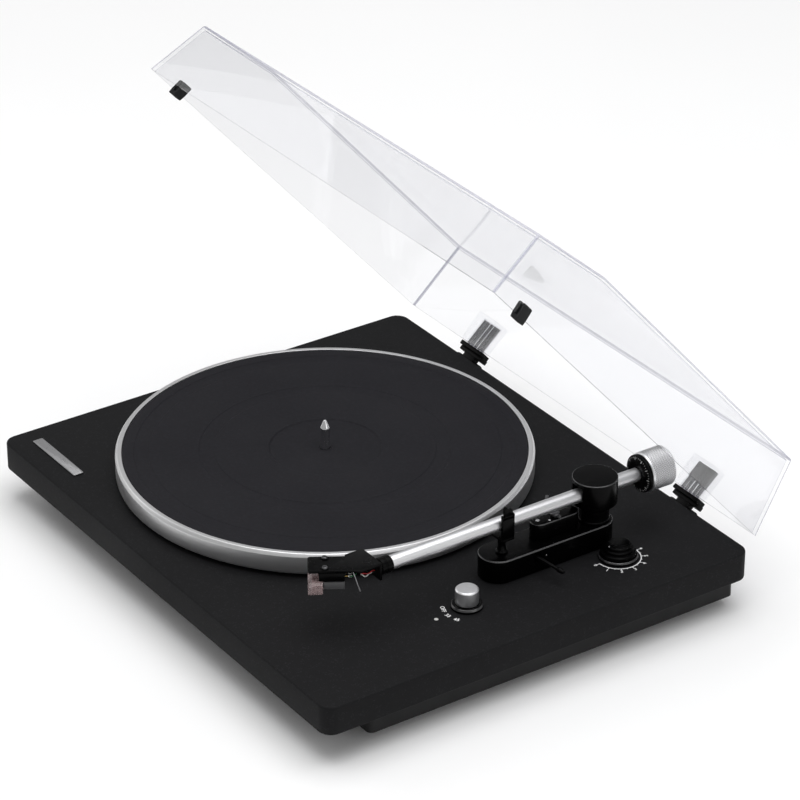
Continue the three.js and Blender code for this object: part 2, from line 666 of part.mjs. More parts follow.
// The lever turns about Y at its root; made with that root at the origin.
function cueLever() {
  const tip = new THREE.Vector3(lever.reachX, lever.reachY, -lever.drop);
  const line = new THREE.LineCurve3(new THREE.Vector3(0, 0, 0), tip);
  const round = new THREE.Shape().absarc(0, 0, lever.radius, 0, 2 * Math.PI);
  const stem = new THREE.ExtrudeGeometry(round, { extrudePath: line, steps: 1, curveSegments: 6 });
  const knobEnd = new THREE.SphereGeometry(1.9, 16, 10).scale(1.7, 1, 1).translate(tip.x, tip.y, tip.z);
  const root = alongY(rod(lever.barrel, -1.7, 1.7, 16));
  return join(stem, knobEnd, root);
}

// ---------------------------------------------------------------- tonearm: what swings and tilts

function armYoke() {
  const neckBottom = pillarTop + FIT_GAP;
  const shaftBottom = armBaseTop + FIT_GAP + pillar.floor + FIT_GAP;
  const body = turned(
    [[0, shaftBottom], [pillar.shaftRadius, shaftBottom], [pillar.shaftRadius, neckBottom],
      [pillar.radius, neckBottom], [pillar.radius, cap.underside], [cap.radius - cap.edge, cap.underside],
      [cap.radius, cap.underside + cap.edge], [cap.radius, cap.top - cap.edge],
      [cap.radius - cap.edge, cap.top], [0, cap.top]],
    MEDIUM_SIDES,
  );
  const slotHalf = arm.radius + cap.slotSide;
  const slotRise = arm.radius + cap.slotRise;
  const slot = block(
    [-slotHalf, -cap.radius - CUT_OVERRUN, arm.height - slotRise],
    [slotHalf, cap.radius + CUT_OVERRUN, arm.height + slotRise],
  );
  const reach = arm.radius + FIT_GAP + pivotPin.length + FIT_GAP;
  const pinBore = alongX(rod(pivotPin.radius + FIT_GAP, -reach, reach)).translate(0, 0, arm.height);
  return cut(body, slot, pinBore);
}

function pivotBearingPin(side) {
  const start = arm.radius + FIT_GAP;
  const profile = [[0, start], [pivotPin.tip, start], [pivotPin.radius, start + 1.2],
    [pivotPin.radius, start + pivotPin.length], [0, start + pivotPin.length]];
  const pin = alongX(turned(profile, 16));
  return side > 0 ? pin : pin.rotateZ(Math.PI);
}

// Tube with a threaded stub behind it for the counterweight; along Y from the pivot.
function armTube() {
  const front = arm.front - arm.pivotY;
  const rear = dialFront - FIT_GAP - arm.pivotY;
  const stubEnd = weight.front + weight.length - 1 - arm.pivotY;
  const bore = arm.radius - arm.wall;
  return alongY(
    turned(
      [[bore, front], [arm.radius, front], [arm.radius, rear], [arm.stubRadius, rear],
        [arm.stubRadius, stubEnd], [0, stubEnd], [0, rear - 8], [bore, rear - 8], [bore, front]],
      SMALL_SIDES,
    ),
  );
}

function armCollar() {
  const rear = arm.front - FIT_GAP - arm.pivotY;
  const front = shell.rear + FIT_GAP - arm.pivotY;
  const spigotEnd = rear + collar.spigot;
  return alongY(
    turned([[0, front], [collar.radius - 0.5, front], [collar.radius, front + 0.5],
      [collar.radius, rear - 0.5], [collar.radius - 0.5, rear], [collar.spigotRadius, rear],
      [collar.spigotRadius, spigotEnd], [0, spigotEnd]]),
  );
}

// The cartridge frame: its origin is the shell's elbow, `s` runs to the nose and `t` to the outer side.
const elbow = {
  x: arm.x - shell.offset,
  y: shell.rear - shell.rearLength,
  forward: [-Math.sin(radians(shell.angle)), -Math.cos(radians(shell.angle))],
  outward: [Math.cos(radians(shell.angle)), -Math.sin(radians(shell.angle))],
};

function shellPoint(s, t) {
  return [
    elbow.x + s * elbow.forward[0] + t * elbow.outward[0],
    elbow.y + s * elbow.forward[1] + t * elbow.outward[1],
  ];
}

// A box in the cartridge frame.
function shellBlock(s0, s1, halfWidth, bottom, top) {
  const outline = polygon([
    shellPoint(s0, -halfWidth), shellPoint(s1, -halfWidth), shellPoint(s1, halfWidth),
    shellPoint(s0, halfWidth),
  ]);
  return raised(outline, bottom, top);
}

const plateBottom = shell.top - shell.thickness;
const cartridgeTop = plateBottom - FIT_GAP;
const cartridgeBottom = cartridgeTop - cartridge.height;
const stylusTop = cartridgeBottom - FIT_GAP;
const stylusBottom = stylusTop - stylus.height;
const guardBottom = stylusBottom - stylus.drop - FIT_GAP - guard.wall;

function screwHoles(bottom, top) {
  return [-1, 1].map((side) => {
    const [x, y] = shellPoint(shellScrew.along, (side * shellScrew.spacing) / 2);
    return rod(shellScrew.radius + FIT_GAP, bottom, top, 16).translate(x, y, 0);
  });
}

function headshell() {
  const [right, left] = [elbow.x + shell.width / 2, elbow.x - shell.width / 2];
  const nose = shell.noseLength;
  const half = shell.noseWidth / 2;
  const outline = polygon([
    [right, shell.rear], [left, shell.rear], [left, elbow.y + 2], shellPoint(4, -half),
    shellPoint(nose - 1, -half), shellPoint(nose, 1 - half), shellPoint(nose, half - 1),
    shellPoint(nose - 1, half), shellPoint(4, half), [right, elbow.y - 1],
  ]);
  const plate = raised(outline, plateBottom, shell.top);
  const wall = block([left, shell.rear - shell.wallThickness, shell.wallBottom], [right, shell.rear, shell.top]);
  return cut(join(plate, wall), ...screwHoles(plateBottom - CUT_OVERRUN, shell.top + CUT_OVERRUN));
}

function cartridgeBody() {
  const body = shellBlock(
    cartridge.rear, cartridge.front, cartridge.halfWidth, cartridgeBottom, cartridgeTop,
  );
  const pins = [];
  for (const t of [-4.5, 4.5]) {
    for (const z of [cartridgeBottom + 1.6, cartridgeTop - 2]) {
      const [x, y] = shellPoint(cartridge.rear + 1, t);
      const pin = rod(cartridge.pinRadius, 0, cartridge.pinLength + 1, 8);
      pins.push(alongY(pin).rotateZ(-radians(shell.angle)).translate(x, y, z));
    }
  }
  return cut(join(body, ...pins), ...screwHoles(cartridgeBottom - CUT_OVERRUN, cartridgeTop + CUT_OVERRUN));
}

function stylusUnit() {
  const body = shellBlock(
    cartridge.rear, stylus.front, stylus.halfWidth, stylusBottom, stylusTop - shellScrew.length * 0.1,
  );
  const [x0, y0] = shellPoint(stylus.front - 1, 0);
  const [x1, y1] = shellPoint(stylus.front + stylus.reach, 0);
  const line = new THREE.LineCurve3(
    new THREE.Vector3(x0, y0, stylusBottom + 1.4),
    new THREE.Vector3(x1, y1, stylusBottom - stylus.drop + stylus.radius),
  );
  const round = new THREE.Shape().absarc(0, 0, stylus.radius, 0, 2 * Math.PI);
  const cantilever = new THREE.ExtrudeGeometry(round, { extrudePath: line, steps: 1, curveSegments: 4 });
  return join(body, cantilever);
}

// A clear hood round the stylus, open at the back so that it pulls off forwards.
function stylusGuard() {
  const rear = stylus.front + FIT_GAP;
  const front = shell.noseLength;
  const hoodTop = guardBottom + guard.height;
  const hood = shellBlock(rear, front, guard.halfWidth, guardBottom, hoodTop);
  const hollow = shellBlock(
    rear - CUT_OVERRUN, front - guard.noseThickness, guard.halfWidth - guard.wall,
    guardBottom + guard.wall, hoodTop - guard.wall,
  );
  const nose = shellBlock(
    Math.max(front - guard.noseThickness, cartridge.front + FIT_GAP), front, guard.halfWidth,
    hoodTop - 1, plateBottom - FIT_GAP,
  );
  const keepClear = shellBlock(
    cartridge.rear, cartridge.front + FIT_GAP, guard.halfWidth + CUT_OVERRUN,
    cartridgeBottom - FIT_GAP, cartridgeTop,
  );
  return cut(join(hood, nose), hollow, keepClear);
}

function shellScrewPiece(side) {
  const [x, y] = shellPoint(shellScrew.along, (side * shellScrew.spacing) / 2);
  const under = shell.top + FIT_GAP;
  const top = under + shellScrew.headHeight;
  const tip = cartridgeBottom + 0.5;
  return turned([[0, tip], [shellScrew.radius, tip], [shellScrew.radius, under], [shellScrew.headRadius, under],
    [shellScrew.headRadius, top - 0.4], [shellScrew.headRadius - 0.4, top], [0, top]], 16)
    .translate(x, y, 0);
}

// A thin rod for a fingertip, bent outwards and down from the slanting edge beside the shell's elbow.
function fingerRod() {
  const rear = new THREE.Vector2(elbow.x + shell.width / 2, elbow.y - 1);
  const front = new THREE.Vector2(...shellPoint(4, shell.noseWidth / 2));
  const edge = front.clone().sub(rear).normalize();
  const root = rear.clone().lerp(front, 0.5).add(new THREE.Vector2(-edge.y, edge.x).multiplyScalar(FIT_GAP));
  const z = shell.top - shell.thickness / 2;
  const { reach, fall } = fingerLift;
  const stations = [[0, 0, 0], [0.2, 0.6, 0.1], [0.6, 1.4, 0.5], [1, 1.8, 1]];
  const path = new THREE.CatmullRomCurve3(stations.map(([out, forward, down]) =>
    new THREE.Vector3(root.x + out * reach, root.y - forward, z - down * fall)));
  const round = new THREE.Shape().absarc(0, 0, fingerLift.radius, 0, 2 * Math.PI);
  return new THREE.ExtrudeGeometry(round, { extrudePath: path, steps: 10, curveSegments: 4 });
}

// ---------------------------------------------------------------- counterweight

function weightBush() {
  const rear = weight.front + weight.length - 2;
  return alongY(sleeve(arm.stubRadius + FIT_GAP, weight.bushRadius, weight.front, rear));
}

function counterweight() {
  const bore = weight.bushRadius + FIT_GAP;
  const rear = weight.front + weight.length;
  const edge = 0.8;
  return alongY(
    turnedRing(
      [[bore, weight.front], [weight.radius - edge, weight.front], [weight.radius, weight.front + edge],
        [weight.radius, rear - edge], [weight.radius - edge, rear], [bore, rear]],
      MEDIUM_SIDES,
    ),
  );
}

function forceDial() {
  const bore = arm.radius + FIT_GAP;
  const rear = weight.front - FIT_GAP;
  return alongY(
    turnedRing(
      [[bore, dialFront], [dial.faceRadius, dialFront], [dial.radius, dialFront + dial.faceDepth],
        [dial.radius, rear], [bore, rear]],
      MEDIUM_SIDES,
    ),
  );
}

// ---------------------------------------------------------------- dust cover and hinges

// The cover's outer form, closed, seen from its hinge axis: Y runs back and Z up. A positive
// offset swells it, a negative one shrinks it, and `below` runs it on past the rim.
function coverForm(offset, below = 0) {
  const corners = [];
  const draft = cover.draft / cover.height;
  const point = (depth, height, lean) => {
    const halfWidth = cover.width / 2 + offset - draft * height;
    const y = -rimFromAxis - depth - lean;
    for (const x of [-halfWidth, halfWidth]) {
      corners.push(new THREE.Vector3(x, y, rimAboveAxis + height));
    }
  };
  const roof = cover.height + offset;
  const frontRoof = cover.frontHeight + offset;
  point(-below * -draft, -below, -offset);
  point(cover.depth + below * draft, -below, offset);
  point(draft * roof, roof, -offset);
  point(cover.bendDepth, roof, 0);
  point(cover.depth - draft * frontRoof, frontRoof, offset);
  return new ConvexGeometry(corners);
}

function coverPocketBlock(x) {
  return block(
    [x - hinge.width / 2, -rimFromAxis - cover.draft, rimAboveAxis],
    [x + hinge.width / 2, -rimFromAxis + pocket.depth, rimAboveAxis + pocket.height],
  );
}

function coverPocketHollow(x) {
  const half = hinge.width / 2 - pocket.sideWall;
  return block(
    [x - half, -rimFromAxis + pocket.wall, rimAboveAxis - CUT_OVERRUN],
    [x + half, -rimFromAxis + pocket.depth - pocket.wall, rimAboveAxis + pocket.height - pocket.wall],
  );
}

function coverShell() {
  const hollows = [coverForm(-cover.wall, 2 * CUT_OVERRUN)];
  const outside = [coverForm(0)];
  for (const x of [-hinge.x, hinge.x]) {
    outside.push(coverPocketBlock(x));
    hollows.push(coverPocketHollow(x));
  }
  return cut(join(...outside), ...hollows);
}

// A rubber clip astride the rim of a side wall, with a pad that meets the plinth when closed.
function coverBumper(side) {
  const y = -rimFromAxis - (cover.depth - bumper.fromFront);
  const reach = [cover.width / 2 - 12, cover.width / 2 + 4].map((x) => side * x).sort((a, b) => a - b);
  const pad = cover.rimGap - FIT_GAP;
  const band = (offset) => coverForm(offset, pad + CUT_OVERRUN);
  const slab = block(
    [reach[0], y - bumper.width / 2, rimAboveAxis - pad],
    [reach[1], y + bumper.width / 2, rimAboveAxis + bumper.tongue],
  );
  const hug = cut(common(slab, band(bumper.thickness)), band(-cover.wall - bumper.thickness));
  const wall = cut(coverForm(FIT_GAP), coverForm(-cover.wall - FIT_GAP, CUT_OVERRUN));
  const room = block(
    [reach[0] - 1, y - bumper.width, rimAboveAxis - FIT_GAP],
    [reach[1] + 1, y + bumper.width, rimAboveAxis + cover.height],
  );
  return cut(hug, common(join(wall, rimStrip()), room));
}

// What a clip must leave free just under the rim.
function rimStrip() {
  return cut(coverForm(FIT_GAP, FIT_GAP), coverForm(-cover.wall - FIT_GAP, 2 * CUT_OVERRUN));
}

// Fixed half of a hinge, screwed to the plinth's rear face: two ears on a plate, and the pin.
function hingeBracket() {
  const face = -hinge.behind + FIT_GAP;
  const half = hinge.width / 2;
  const slot = hinge.knuckle / 2 + FIT_GAP;
  const low = -hinge.barrel - 4.5;
  const high = hinge.barrel;
  const back = block([-half, face, low], [half, face + hinge.plate, -hinge.barrel - FIT_GAP - 0.4]);
  const parts = [back];
  for (const side of [-1, 1]) {
    const [x0, x1] = [slot, half].map((x) => side * x).sort((a, b) => a - b);
    parts.push(block([x0, face, low], [x1, face + hinge.plate, high]));
    parts.push(block([x0, face, -hinge.barrel], [x1, 0, hinge.barrel]));
    parts.push(alongX(rod(hinge.barrel, x0, x1)));
  }
  parts.push(alongX(rod(hinge.pin, -half, half)));
  return join(...parts);
}

// Moving half: a knuckle on the pin, a shoulder above the plinth and a tongue in the cover's pocket.
function hingeArm() {
  const knuckle = hinge.knuckle / 2;
  const half = hinge.width / 2;
  const shoulderLow = hinge.below + FIT_GAP;
  const shoulderHigh = rimAboveAxis - FIT_GAP;
  const tongueHalf = half - pocket.sideWall - FIT_GAP;
  const tongueFront = -rimFromAxis + pocket.wall + FIT_GAP;
  const tongueBack = -rimFromAxis + pocket.depth - pocket.wall - FIT_GAP;
  const barrel = alongX(rod(hinge.barrel, -knuckle, knuckle));
  const link = block([-knuckle, -hinge.barrel, 0], [knuckle, 2, shoulderLow + 0.5]);
  const shoulder = block([-half, tongueFront - 1.5, shoulderLow], [half, 2, shoulderHigh]);
  const heel = block([-half, FIT_GAP - hinge.behind, hinge.heelLow], [half, 3, shoulderLow + 0.5]);
  const tongue = block(
    [-tongueHalf, tongueFront, shoulderHigh - 0.5],
    [tongueHalf, tongueBack, rimAboveAxis + pocket.height - pocket.wall - FIT_GAP],
  );
  const pinHole = alongX(rod(hinge.pin + FIT_GAP, -knuckle - CUT_OVERRUN, knuckle + CUT_OVERRUN));
  return cut(join(barrel, link, heel, shoulder, tongue), pinHole);
}

// ---------------------------------------------------------------- assembly

const deck = new THREE.Group();

addPiece(deck, "plinth_slab", plinthSlab(), finishes.plinth);
addPiece(deck, "sub_base_frame", subBaseFrame(), finishes.matteBlack);
addPiece(deck, "bottom_panel", bottomSheet(), finishes.matteBlack);

const footX = subBaseRight - foot.inset;
const [footFront, footRear] = [subBaseFront + foot.inset, subBaseRear - foot.inset];
for (const [name, x, y] of [
  ["foot_front_left", -footX, footFront], ["foot_front_right", footX, footFront],
  ["foot_rear_left", -footX, footRear], ["foot_rear_right", footX, footRear],
]) {
  addPiece(deck, name, footPad(), finishes.rubber, [x, y, subBaseBottom]);
}

const terminalPlace = [terminals.offsetX, terminalFace, terminalZ];
const besideTerminals = (dx) => [terminals.offsetX + dx, terminalFace, terminalZ];
addPiece(deck, "terminal_plate", terminalPlate(), finishes.matteBlack, terminalPlace);
addPiece(deck, "phono_jack_right", phonoJack(), finishes.connectorRed, besideTerminals(jack.offsetX));
addPiece(deck, "phono_jack_left", phonoJack(), finishes.connectorWhite,
  besideTerminals(jack.offsetX + jack.spacing));
addPiece(deck, "ground_post",
  alongY(rod(groundPost.radius, -terminals.thickness - groundPost.inside, groundPost.outside, 16)),
  finishes.brass, besideTerminals(groundPost.offsetX));
addPiece(deck, "ground_nut", groundNut(), finishes.brass, besideTerminals(groundPost.offsetX));
addPiece(deck, "phono_switch", phonoSwitchSlider(), finishes.greyPlastic,
  besideTerminals(phonoSwitch.offsetX));
addPiece(deck, "power_inlet", powerSocket(), finishes.matteBlack, besideTerminals(powerInlet.offsetX));
addPiece(deck, "circuit_board", circuitBoard(), finishes.boardGreen);

const platterPlace = [platter.x, platter.y, 0];
addPiece(deck, "bearing_housing", bearingHousing(), finishes.brass, platterPlace);
addPiece(deck, "platter_spindle", platterSpindle(), finishes.steel, platterPlace);
addPiece(deck, "sub_platter", beltWheel(), finishes.matteBlack, platterPlace);
addPiece(deck, "platter", platterDish(), finishes.platter, platterPlace);
addPiece(deck, "platter_mat", rubberMat(), finishes.mat, platterPlace);
addPiece(deck, "drive_motor", driveMotor(), finishes.motorSteel, [motorX, motorY, 0]);
addPiece(deck, "motor_pulley", drivePulley(), finishes.brass, [motorX, motorY, 0]);
addPiece(deck, "drive_belt", driveBelt(), finishes.rubber, platterPlace);

addPiece(deck, "speed_knob", speedKnob(), finishes.aluminium, [knob.x, knob.y, 0]);
addPiece(deck, "knob_skirt", knobSkirt(), finishes.glossBlack, [knob.x, knob.y, 0]);
addPiece(deck, "speed_switch", switchBody(), finishes.matteBlack, [knob.x, knob.y, 0]);
addPiece(deck, "status_led", ledLens(), finishes.lamp, [...ledPlace(), 0]);
const plaque = roundedRectangle(
  -badge.width / 2, -badge.depth / 2, badge.width / 2, badge.depth / 2, badge.cornerRadius,
);
addPiece(deck, "badge_plate", raised(plaque, FIT_GAP, FIT_GAP + badge.thickness, 0, 4),
  finishes.aluminium, [badge.x, badge.y, 0]);
addPiece(deck, "anti_skate_flange", antiSkateFlange(), finishes.glossBlack, [antiSkate.x, antiSkate.y, 0]);
addPiece(deck, "anti_skate_dial", antiSkateDial(), finishes.glossBlack, [antiSkate.x, antiSkate.y, 0]);

const pivotPlace = [arm.x, arm.pivotY, 0];
const tubePlace = [arm.x, arm.pivotY, arm.height];
addPiece(deck, "arm_base", armBaseBlock(), finishes.glossBlack);
addPiece(deck, "arm_pillar", armPillar(), finishes.glossBlack, pivotPlace);
addPiece(deck, "arm_rest", armRest(), finishes.glossBlack, [arm.x, rest.y, 0]);
addPiece(deck, "rest_latch", restLatch(), finishes.glossBlack,
  [arm.x + arm.radius + 0.5 + rest.wall / 2, rest.y, latch.axis]);
addPiece(deck, "lift_block", liftBlock(), finishes.glossBlack);
addPiece(deck, "lift_bar", cueLiftBar(), finishes.steel);
addPiece(deck, "cue_lever", cueLever(), finishes.matteBlack,
  [armBase.x + armBase.radius - lever.pivotInset, lever.y, lever.z]);

addPiece(deck, "arm_yoke", armYoke(), finishes.glossBlack, pivotPlace);
addPiece(deck, "pivot_pin_left", pivotBearingPin(-1), finishes.steel, tubePlace);
addPiece(deck, "pivot_pin_right", pivotBearingPin(1), finishes.steel, tubePlace);
addPiece(deck, "arm_tube", armTube(), finishes.aluminium, tubePlace);
addPiece(deck, "arm_collar", armCollar(), finishes.glossBlack, tubePlace);
addPiece(deck, "headshell", headshell(), finishes.matteBlack);
addPiece(deck, "finger_lift", fingerRod(), finishes.steel);
addPiece(deck, "cartridge_body", cartridgeBody(), finishes.matteBlack);
addPiece(deck, "stylus_unit", stylusUnit(), finishes.greyPlastic);
addPiece(deck, "stylus_guard", stylusGuard(), finishes.clearGuard);
addPiece(deck, "shell_screw_inner", shellScrewPiece(-1), finishes.steel);
addPiece(deck, "shell_screw_outer", shellScrewPiece(1), finishes.steel);

const weightPlace = [arm.x, 0, arm.height];
addPiece(deck, "weight_bush", weightBush(), finishes.matteBlack, weightPlace);
addPiece(deck, "counterweight", counterweight(), finishes.aluminium, weightPlace);
addPiece(deck, "force_dial", forceDial(), finishes.matteBlack, weightPlace);

const openCover = new THREE.Group();
openCover.position.set(0, hingeY, -hinge.below);
openCover.rotation.x = -radians(cover.openAngle);
deck.add(openCover);
addPiece(openCover, "cover_shell", coverShell(), finishes.clear);
for (const [name, side] of [["left", -1], ["right", 1]]) {
  const x = side * hinge.x;
  addPiece(openCover, "cover_bumper_" + name, coverBumper(side), finishes.rubber);
  addPiece(openCover, "hinge_arm_" + name, hingeArm(), finishes.matteBlack, [x, 0, 0]);
  addPiece(deck, "hinge_bracket_" + name, hingeBracket(), finishes.matteBlack, [x, hingeY, -hinge.below]);
}

// The part's origin: the middle of its bounding box in plan, on the surface under the feet.
deck.position.z = deckHeight;
deck.updateMatrixWorld(true);
const middle = new THREE.Box3().setFromObject(deck, true).getCenter(new THREE.Vector3());
deck.position.x = -middle.x;
deck.position.y = -middle.y;

const group = new THREE.Group();
group.add(deck);

export default group;
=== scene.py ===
"""Looks of the belt-driven record player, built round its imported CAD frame.

Shapes are made in millimetres on the deck: its origin is the middle of the plinth's top face,
X to the right, Y to the back and Z up. Every piece is then put in the row frame, in metres.
"""

import math

import bmesh
import bpy
from mathutils import Matrix, Vector


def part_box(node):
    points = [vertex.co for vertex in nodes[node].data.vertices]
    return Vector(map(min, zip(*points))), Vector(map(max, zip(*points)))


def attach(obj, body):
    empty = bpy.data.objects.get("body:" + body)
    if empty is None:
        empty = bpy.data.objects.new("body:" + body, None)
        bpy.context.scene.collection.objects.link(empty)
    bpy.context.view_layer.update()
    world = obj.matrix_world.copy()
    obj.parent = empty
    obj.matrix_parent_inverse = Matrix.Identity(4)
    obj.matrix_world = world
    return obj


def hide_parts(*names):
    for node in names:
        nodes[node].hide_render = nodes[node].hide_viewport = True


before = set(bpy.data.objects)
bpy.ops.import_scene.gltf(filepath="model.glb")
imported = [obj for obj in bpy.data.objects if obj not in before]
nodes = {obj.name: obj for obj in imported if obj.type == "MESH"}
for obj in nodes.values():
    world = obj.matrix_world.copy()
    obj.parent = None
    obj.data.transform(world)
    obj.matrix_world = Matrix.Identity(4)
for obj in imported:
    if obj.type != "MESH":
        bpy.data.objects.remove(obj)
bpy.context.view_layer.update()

slab_low, slab_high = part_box("plinth_slab")
DECK = Vector(((slab_low.x + slab_high.x) / 2, (slab_low.y + slab_high.y) / 2, slab_high.z))
TO_ROW = Matrix.Translation(DECK) @ Matrix.Scale(0.001, 4)
GAP = 0.3  # between pieces that fit together, in millimetres


def deck_box(node):
    """The lowest and highest corners of a CAD node on the deck, in millimetres."""
    low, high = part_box(node)
    return (low - DECK) * 1000, (high - DECK) * 1000


def middle(node):
    low, high = deck_box(node)
    return (low + high) / 2


def measured(node):
    """Both corners, the middle and half the width."""
    low, high = deck_box(node)
    return low, high, (low + high) / 2, (high.x - low.x) / 2


def in_scene(thing):
    bpy.context.scene.collection.objects.link(thing)


# ------------------------------------------------------------------ shapes


def face_out(bm):
    bmesh.ops.recalc_face_normals(bm, faces=bm.faces)


def weld(bm):
    """Joins the points that meet, and turns the faces out."""
    bmesh.ops.remove_doubles(bm, verts=bm.verts, dist=1e-3)
    face_out(bm)


def lathe(profile, steps=96, closed=False):
    """A body turned about Z from a list of (radius, z)."""
    bm = bmesh.new()
    rings = []
    for radius, z in profile:
        if radius < 1e-6:
            rings.append([bm.verts.new((0, 0, z))])
            continue
        angles = [math.tau * i / steps for i in range(steps)]
        rings.append([bm.verts.new((radius * math.cos(a), radius * math.sin(a), z)) for a in angles])
    pairs = list(zip(rings, rings[1:]))
    if closed:
        pairs.append((rings[-1], rings[0]))
    for a, b in pairs:
        if len(a) == 1 and len(b) == 1:
            continue
        for i in range(steps):
            j = (i + 1) % steps
            if len(a) == 1:
                bm.faces.new((a[0], b[i], b[j]))
            elif len(b) == 1:
                bm.faces.new((a[i], b[0], a[j]))
            else:
                bm.faces.new((a[i], b[i], b[j], a[j]))
    face_out(bm)
    return bm


def eased(profile, radius, steps=3, closed=False):
    """The profile with its corners rounded, except where it meets the axis."""
    count = len(profile)
    result = []
    for i, (r, z) in enumerate(profile):
        if not closed and i in (0, count - 1):
            result.append((r, z))
            continue
        here = Vector((r, z))
        before = Vector(profile[i - 1])
        after = Vector(profile[(i + 1) % count])
        back = min(radius, 0.45 * (before - here).length)
        ahead = min(radius, 0.45 * (after - here).length)
        start = here + (before - here).normalized() * back
        end = here + (after - here).normalized() * ahead
        for k in range(steps + 1):
            t = k / steps
            point = start * (1 - t) ** 2 + here * 2 * t * (1 - t) + end * t**2
            result.append((point.x, point.y))
    return result


def turned(profile, ease=0.3, steps=96):
    return lathe(eased(profile, ease), steps)


def turned_ring(profile, ease=0.3, steps=96):
    return lathe(eased(profile, ease, closed=True), steps, closed=True)


def round_bar(radius, start, end, ease=0.2, steps=32):
    """A solid bar along Z."""
    return turned([(0, start), (radius, start), (radius, end), (0, end)], ease, steps)


def drill(radius, start, end, steps=40):
    """The tool for a round hole along Z."""
    return lathe([(0, start), (radius, start), (radius, end), (0, end)], steps)


def bevel(bm, width, segments=2, degrees=30):
    """Rounds every edge that is sharper than this angle."""
    if width <= 0:
        return bm
    sharp = [e for e in bm.edges if len(e.link_faces) == 2 and e.calc_face_angle(0) > math.radians(degrees)]
    bmesh.ops.bevel(
        bm, geom=sharp, offset=width, segments=segments, profile=0.5, affect="EDGES", clamp_overlap=True
    )
    return bm


def prism(outline, bottom, top, edge=0.4, segments=2):
    """A plan outline raised from bottom to top."""
    bm = bmesh.new()
    low = [bm.verts.new((x, y, bottom)) for x, y in outline]
    high = [bm.verts.new((x, y, top)) for x, y in outline]
    bm.faces.new(list(reversed(low)))
    bm.faces.new(high)
    for i in range(len(outline)):
        j = (i + 1) % len(outline)
        bm.faces.new((low[i], low[j], high[j], high[i]))
    face_out(bm)
    return bevel(bm, edge, segments)


def block(low, high, edge=0.3, segments=2):
    corners = [(low[0], low[1]), (high[0], low[1]), (high[0], high[1]), (low[0], high[1])]
    return prism(corners, low[2], high[2], edge, segments)


def arc(cx, cy, radius, start, end, steps):
    angles = [math.radians(start + (end - start) * i / steps) for i in range(steps + 1)]
    return [(cx + radius * math.cos(a), cy + radius * math.sin(a)) for a in angles]


def rounded_rectangle(x0, y0, x1, y1, radius, steps=10):
    return (
        arc(x1 - radius, y0 + radius, radius, -90, 0, steps)
        + arc(x1 - radius, y1 - radius, radius, 0, 90, steps)
        + arc(x0 + radius, y1 - radius, radius, 90, 180, steps)
        + arc(x0 + radius, y0 + radius, radius, 180, 270, steps)
    )


def obround(x, front, rear, radius, steps=32):
    return arc(x, front, radius, 180, 360, steps) + arc(x, rear, radius, 0, 180, steps)


def sweep(points, radius, steps=16):
    """A rod along a line of points; its radius may change from point to point."""
    path = [Vector(p) for p in points]
    radii = radius if isinstance(radius, (list, tuple)) else [radius] * len(path)
    bm = bmesh.new()
    normal = None
    rings = []
    for i, point in enumerate(path):
        tangent = (path[min(i + 1, len(path) - 1)] - path[max(i - 1, 0)]).normalized()
        if normal is None:
            normal = tangent.orthogonal().normalized()
        normal = (normal - tangent * normal.dot(tangent)).normalized()
        side = tangent.cross(normal)
        ring = []
        for k in range(steps):
            a = math.tau * k / steps
            ring.append(bm.verts.new(point + radii[i] * (normal * math.cos(a) + side * math.sin(a))))
        rings.append(ring)
    for a, b in zip(rings, rings[1:]):
        for k in range(steps):
            m = (k + 1) % steps
            bm.faces.new((a[k], a[m], b[m], b[k]))
    bm.faces.new(list(reversed(rings[0])))
    bm.faces.new(rings[-1])
    face_out(bm)
    return bm


def curve_points(controls, steps=8):
    """A smooth line through the control points."""
    points = [Vector(c) for c in controls]
    padded = [2 * points[0] - points[1]] + points + [2 * points[-1] - points[-2]]
    line = []
    for i in range(1, len(padded) - 2):
        a, b, c, d = padded[i - 1 : i + 3]
        for k in range(steps):
            t = k / steps
            line.append(
                0.5 * (2 * b + (c - a) * t + (2 * a - 5 * b + 4 * c - d) * t**2
                       + (3 * b - a - 3 * c + d) * t**3)
            )
    line.append(points[-1])
    return line


def moved(bm, x=0, y=0, z=0):
    bm.transform(Matrix.Translation((x, y, z)))
    return bm


def lying(bm, axis="Y"):
    """Turns a shape made along Z so that it lies along Y, or along X."""
    turn = Matrix.Rotation(-math.pi / 2, 4, "X") if axis == "Y" else Matrix.Rotation(math.pi / 2, 4, "Y")
    bm.transform(turn)
    return bm


def together(*parts):
    """Several shapes in one mesh."""
    whole = bmesh.new()
    for part in parts:
        mesh = bpy.data.meshes.new("part")
        part.to_mesh(mesh)
        whole.from_mesh(mesh)
        bpy.data.meshes.remove(mesh)
    return whole


def carved(body, *tools, operation="DIFFERENCE"):
    """The body with each tool cut from it, or joined to it."""

    def as_object(bm):
        mesh = bpy.data.meshes.new("carving")
        bm.to_mesh(mesh)
        made = bpy.data.objects.new("carving", mesh)
        in_scene(made)
        return made

    target = as_object(body)
    others = [as_object(t) for t in tools]
    for other in others:
        change = target.modifiers.new("carve", "BOOLEAN")
        change.operation = operation
        change.solver = "EXACT"
        change.object = other
    graph = bpy.context.evaluated_depsgraph_get()
    mesh = bpy.data.meshes.new_from_object(target.evaluated_get(graph))
    result = bmesh.new()
    result.from_mesh(mesh)
    for made in [target, *others]:
        bpy.data.objects.remove(made)
    bmesh.ops.remove_doubles(result, verts=result.verts, dist=1e-4)
    return result


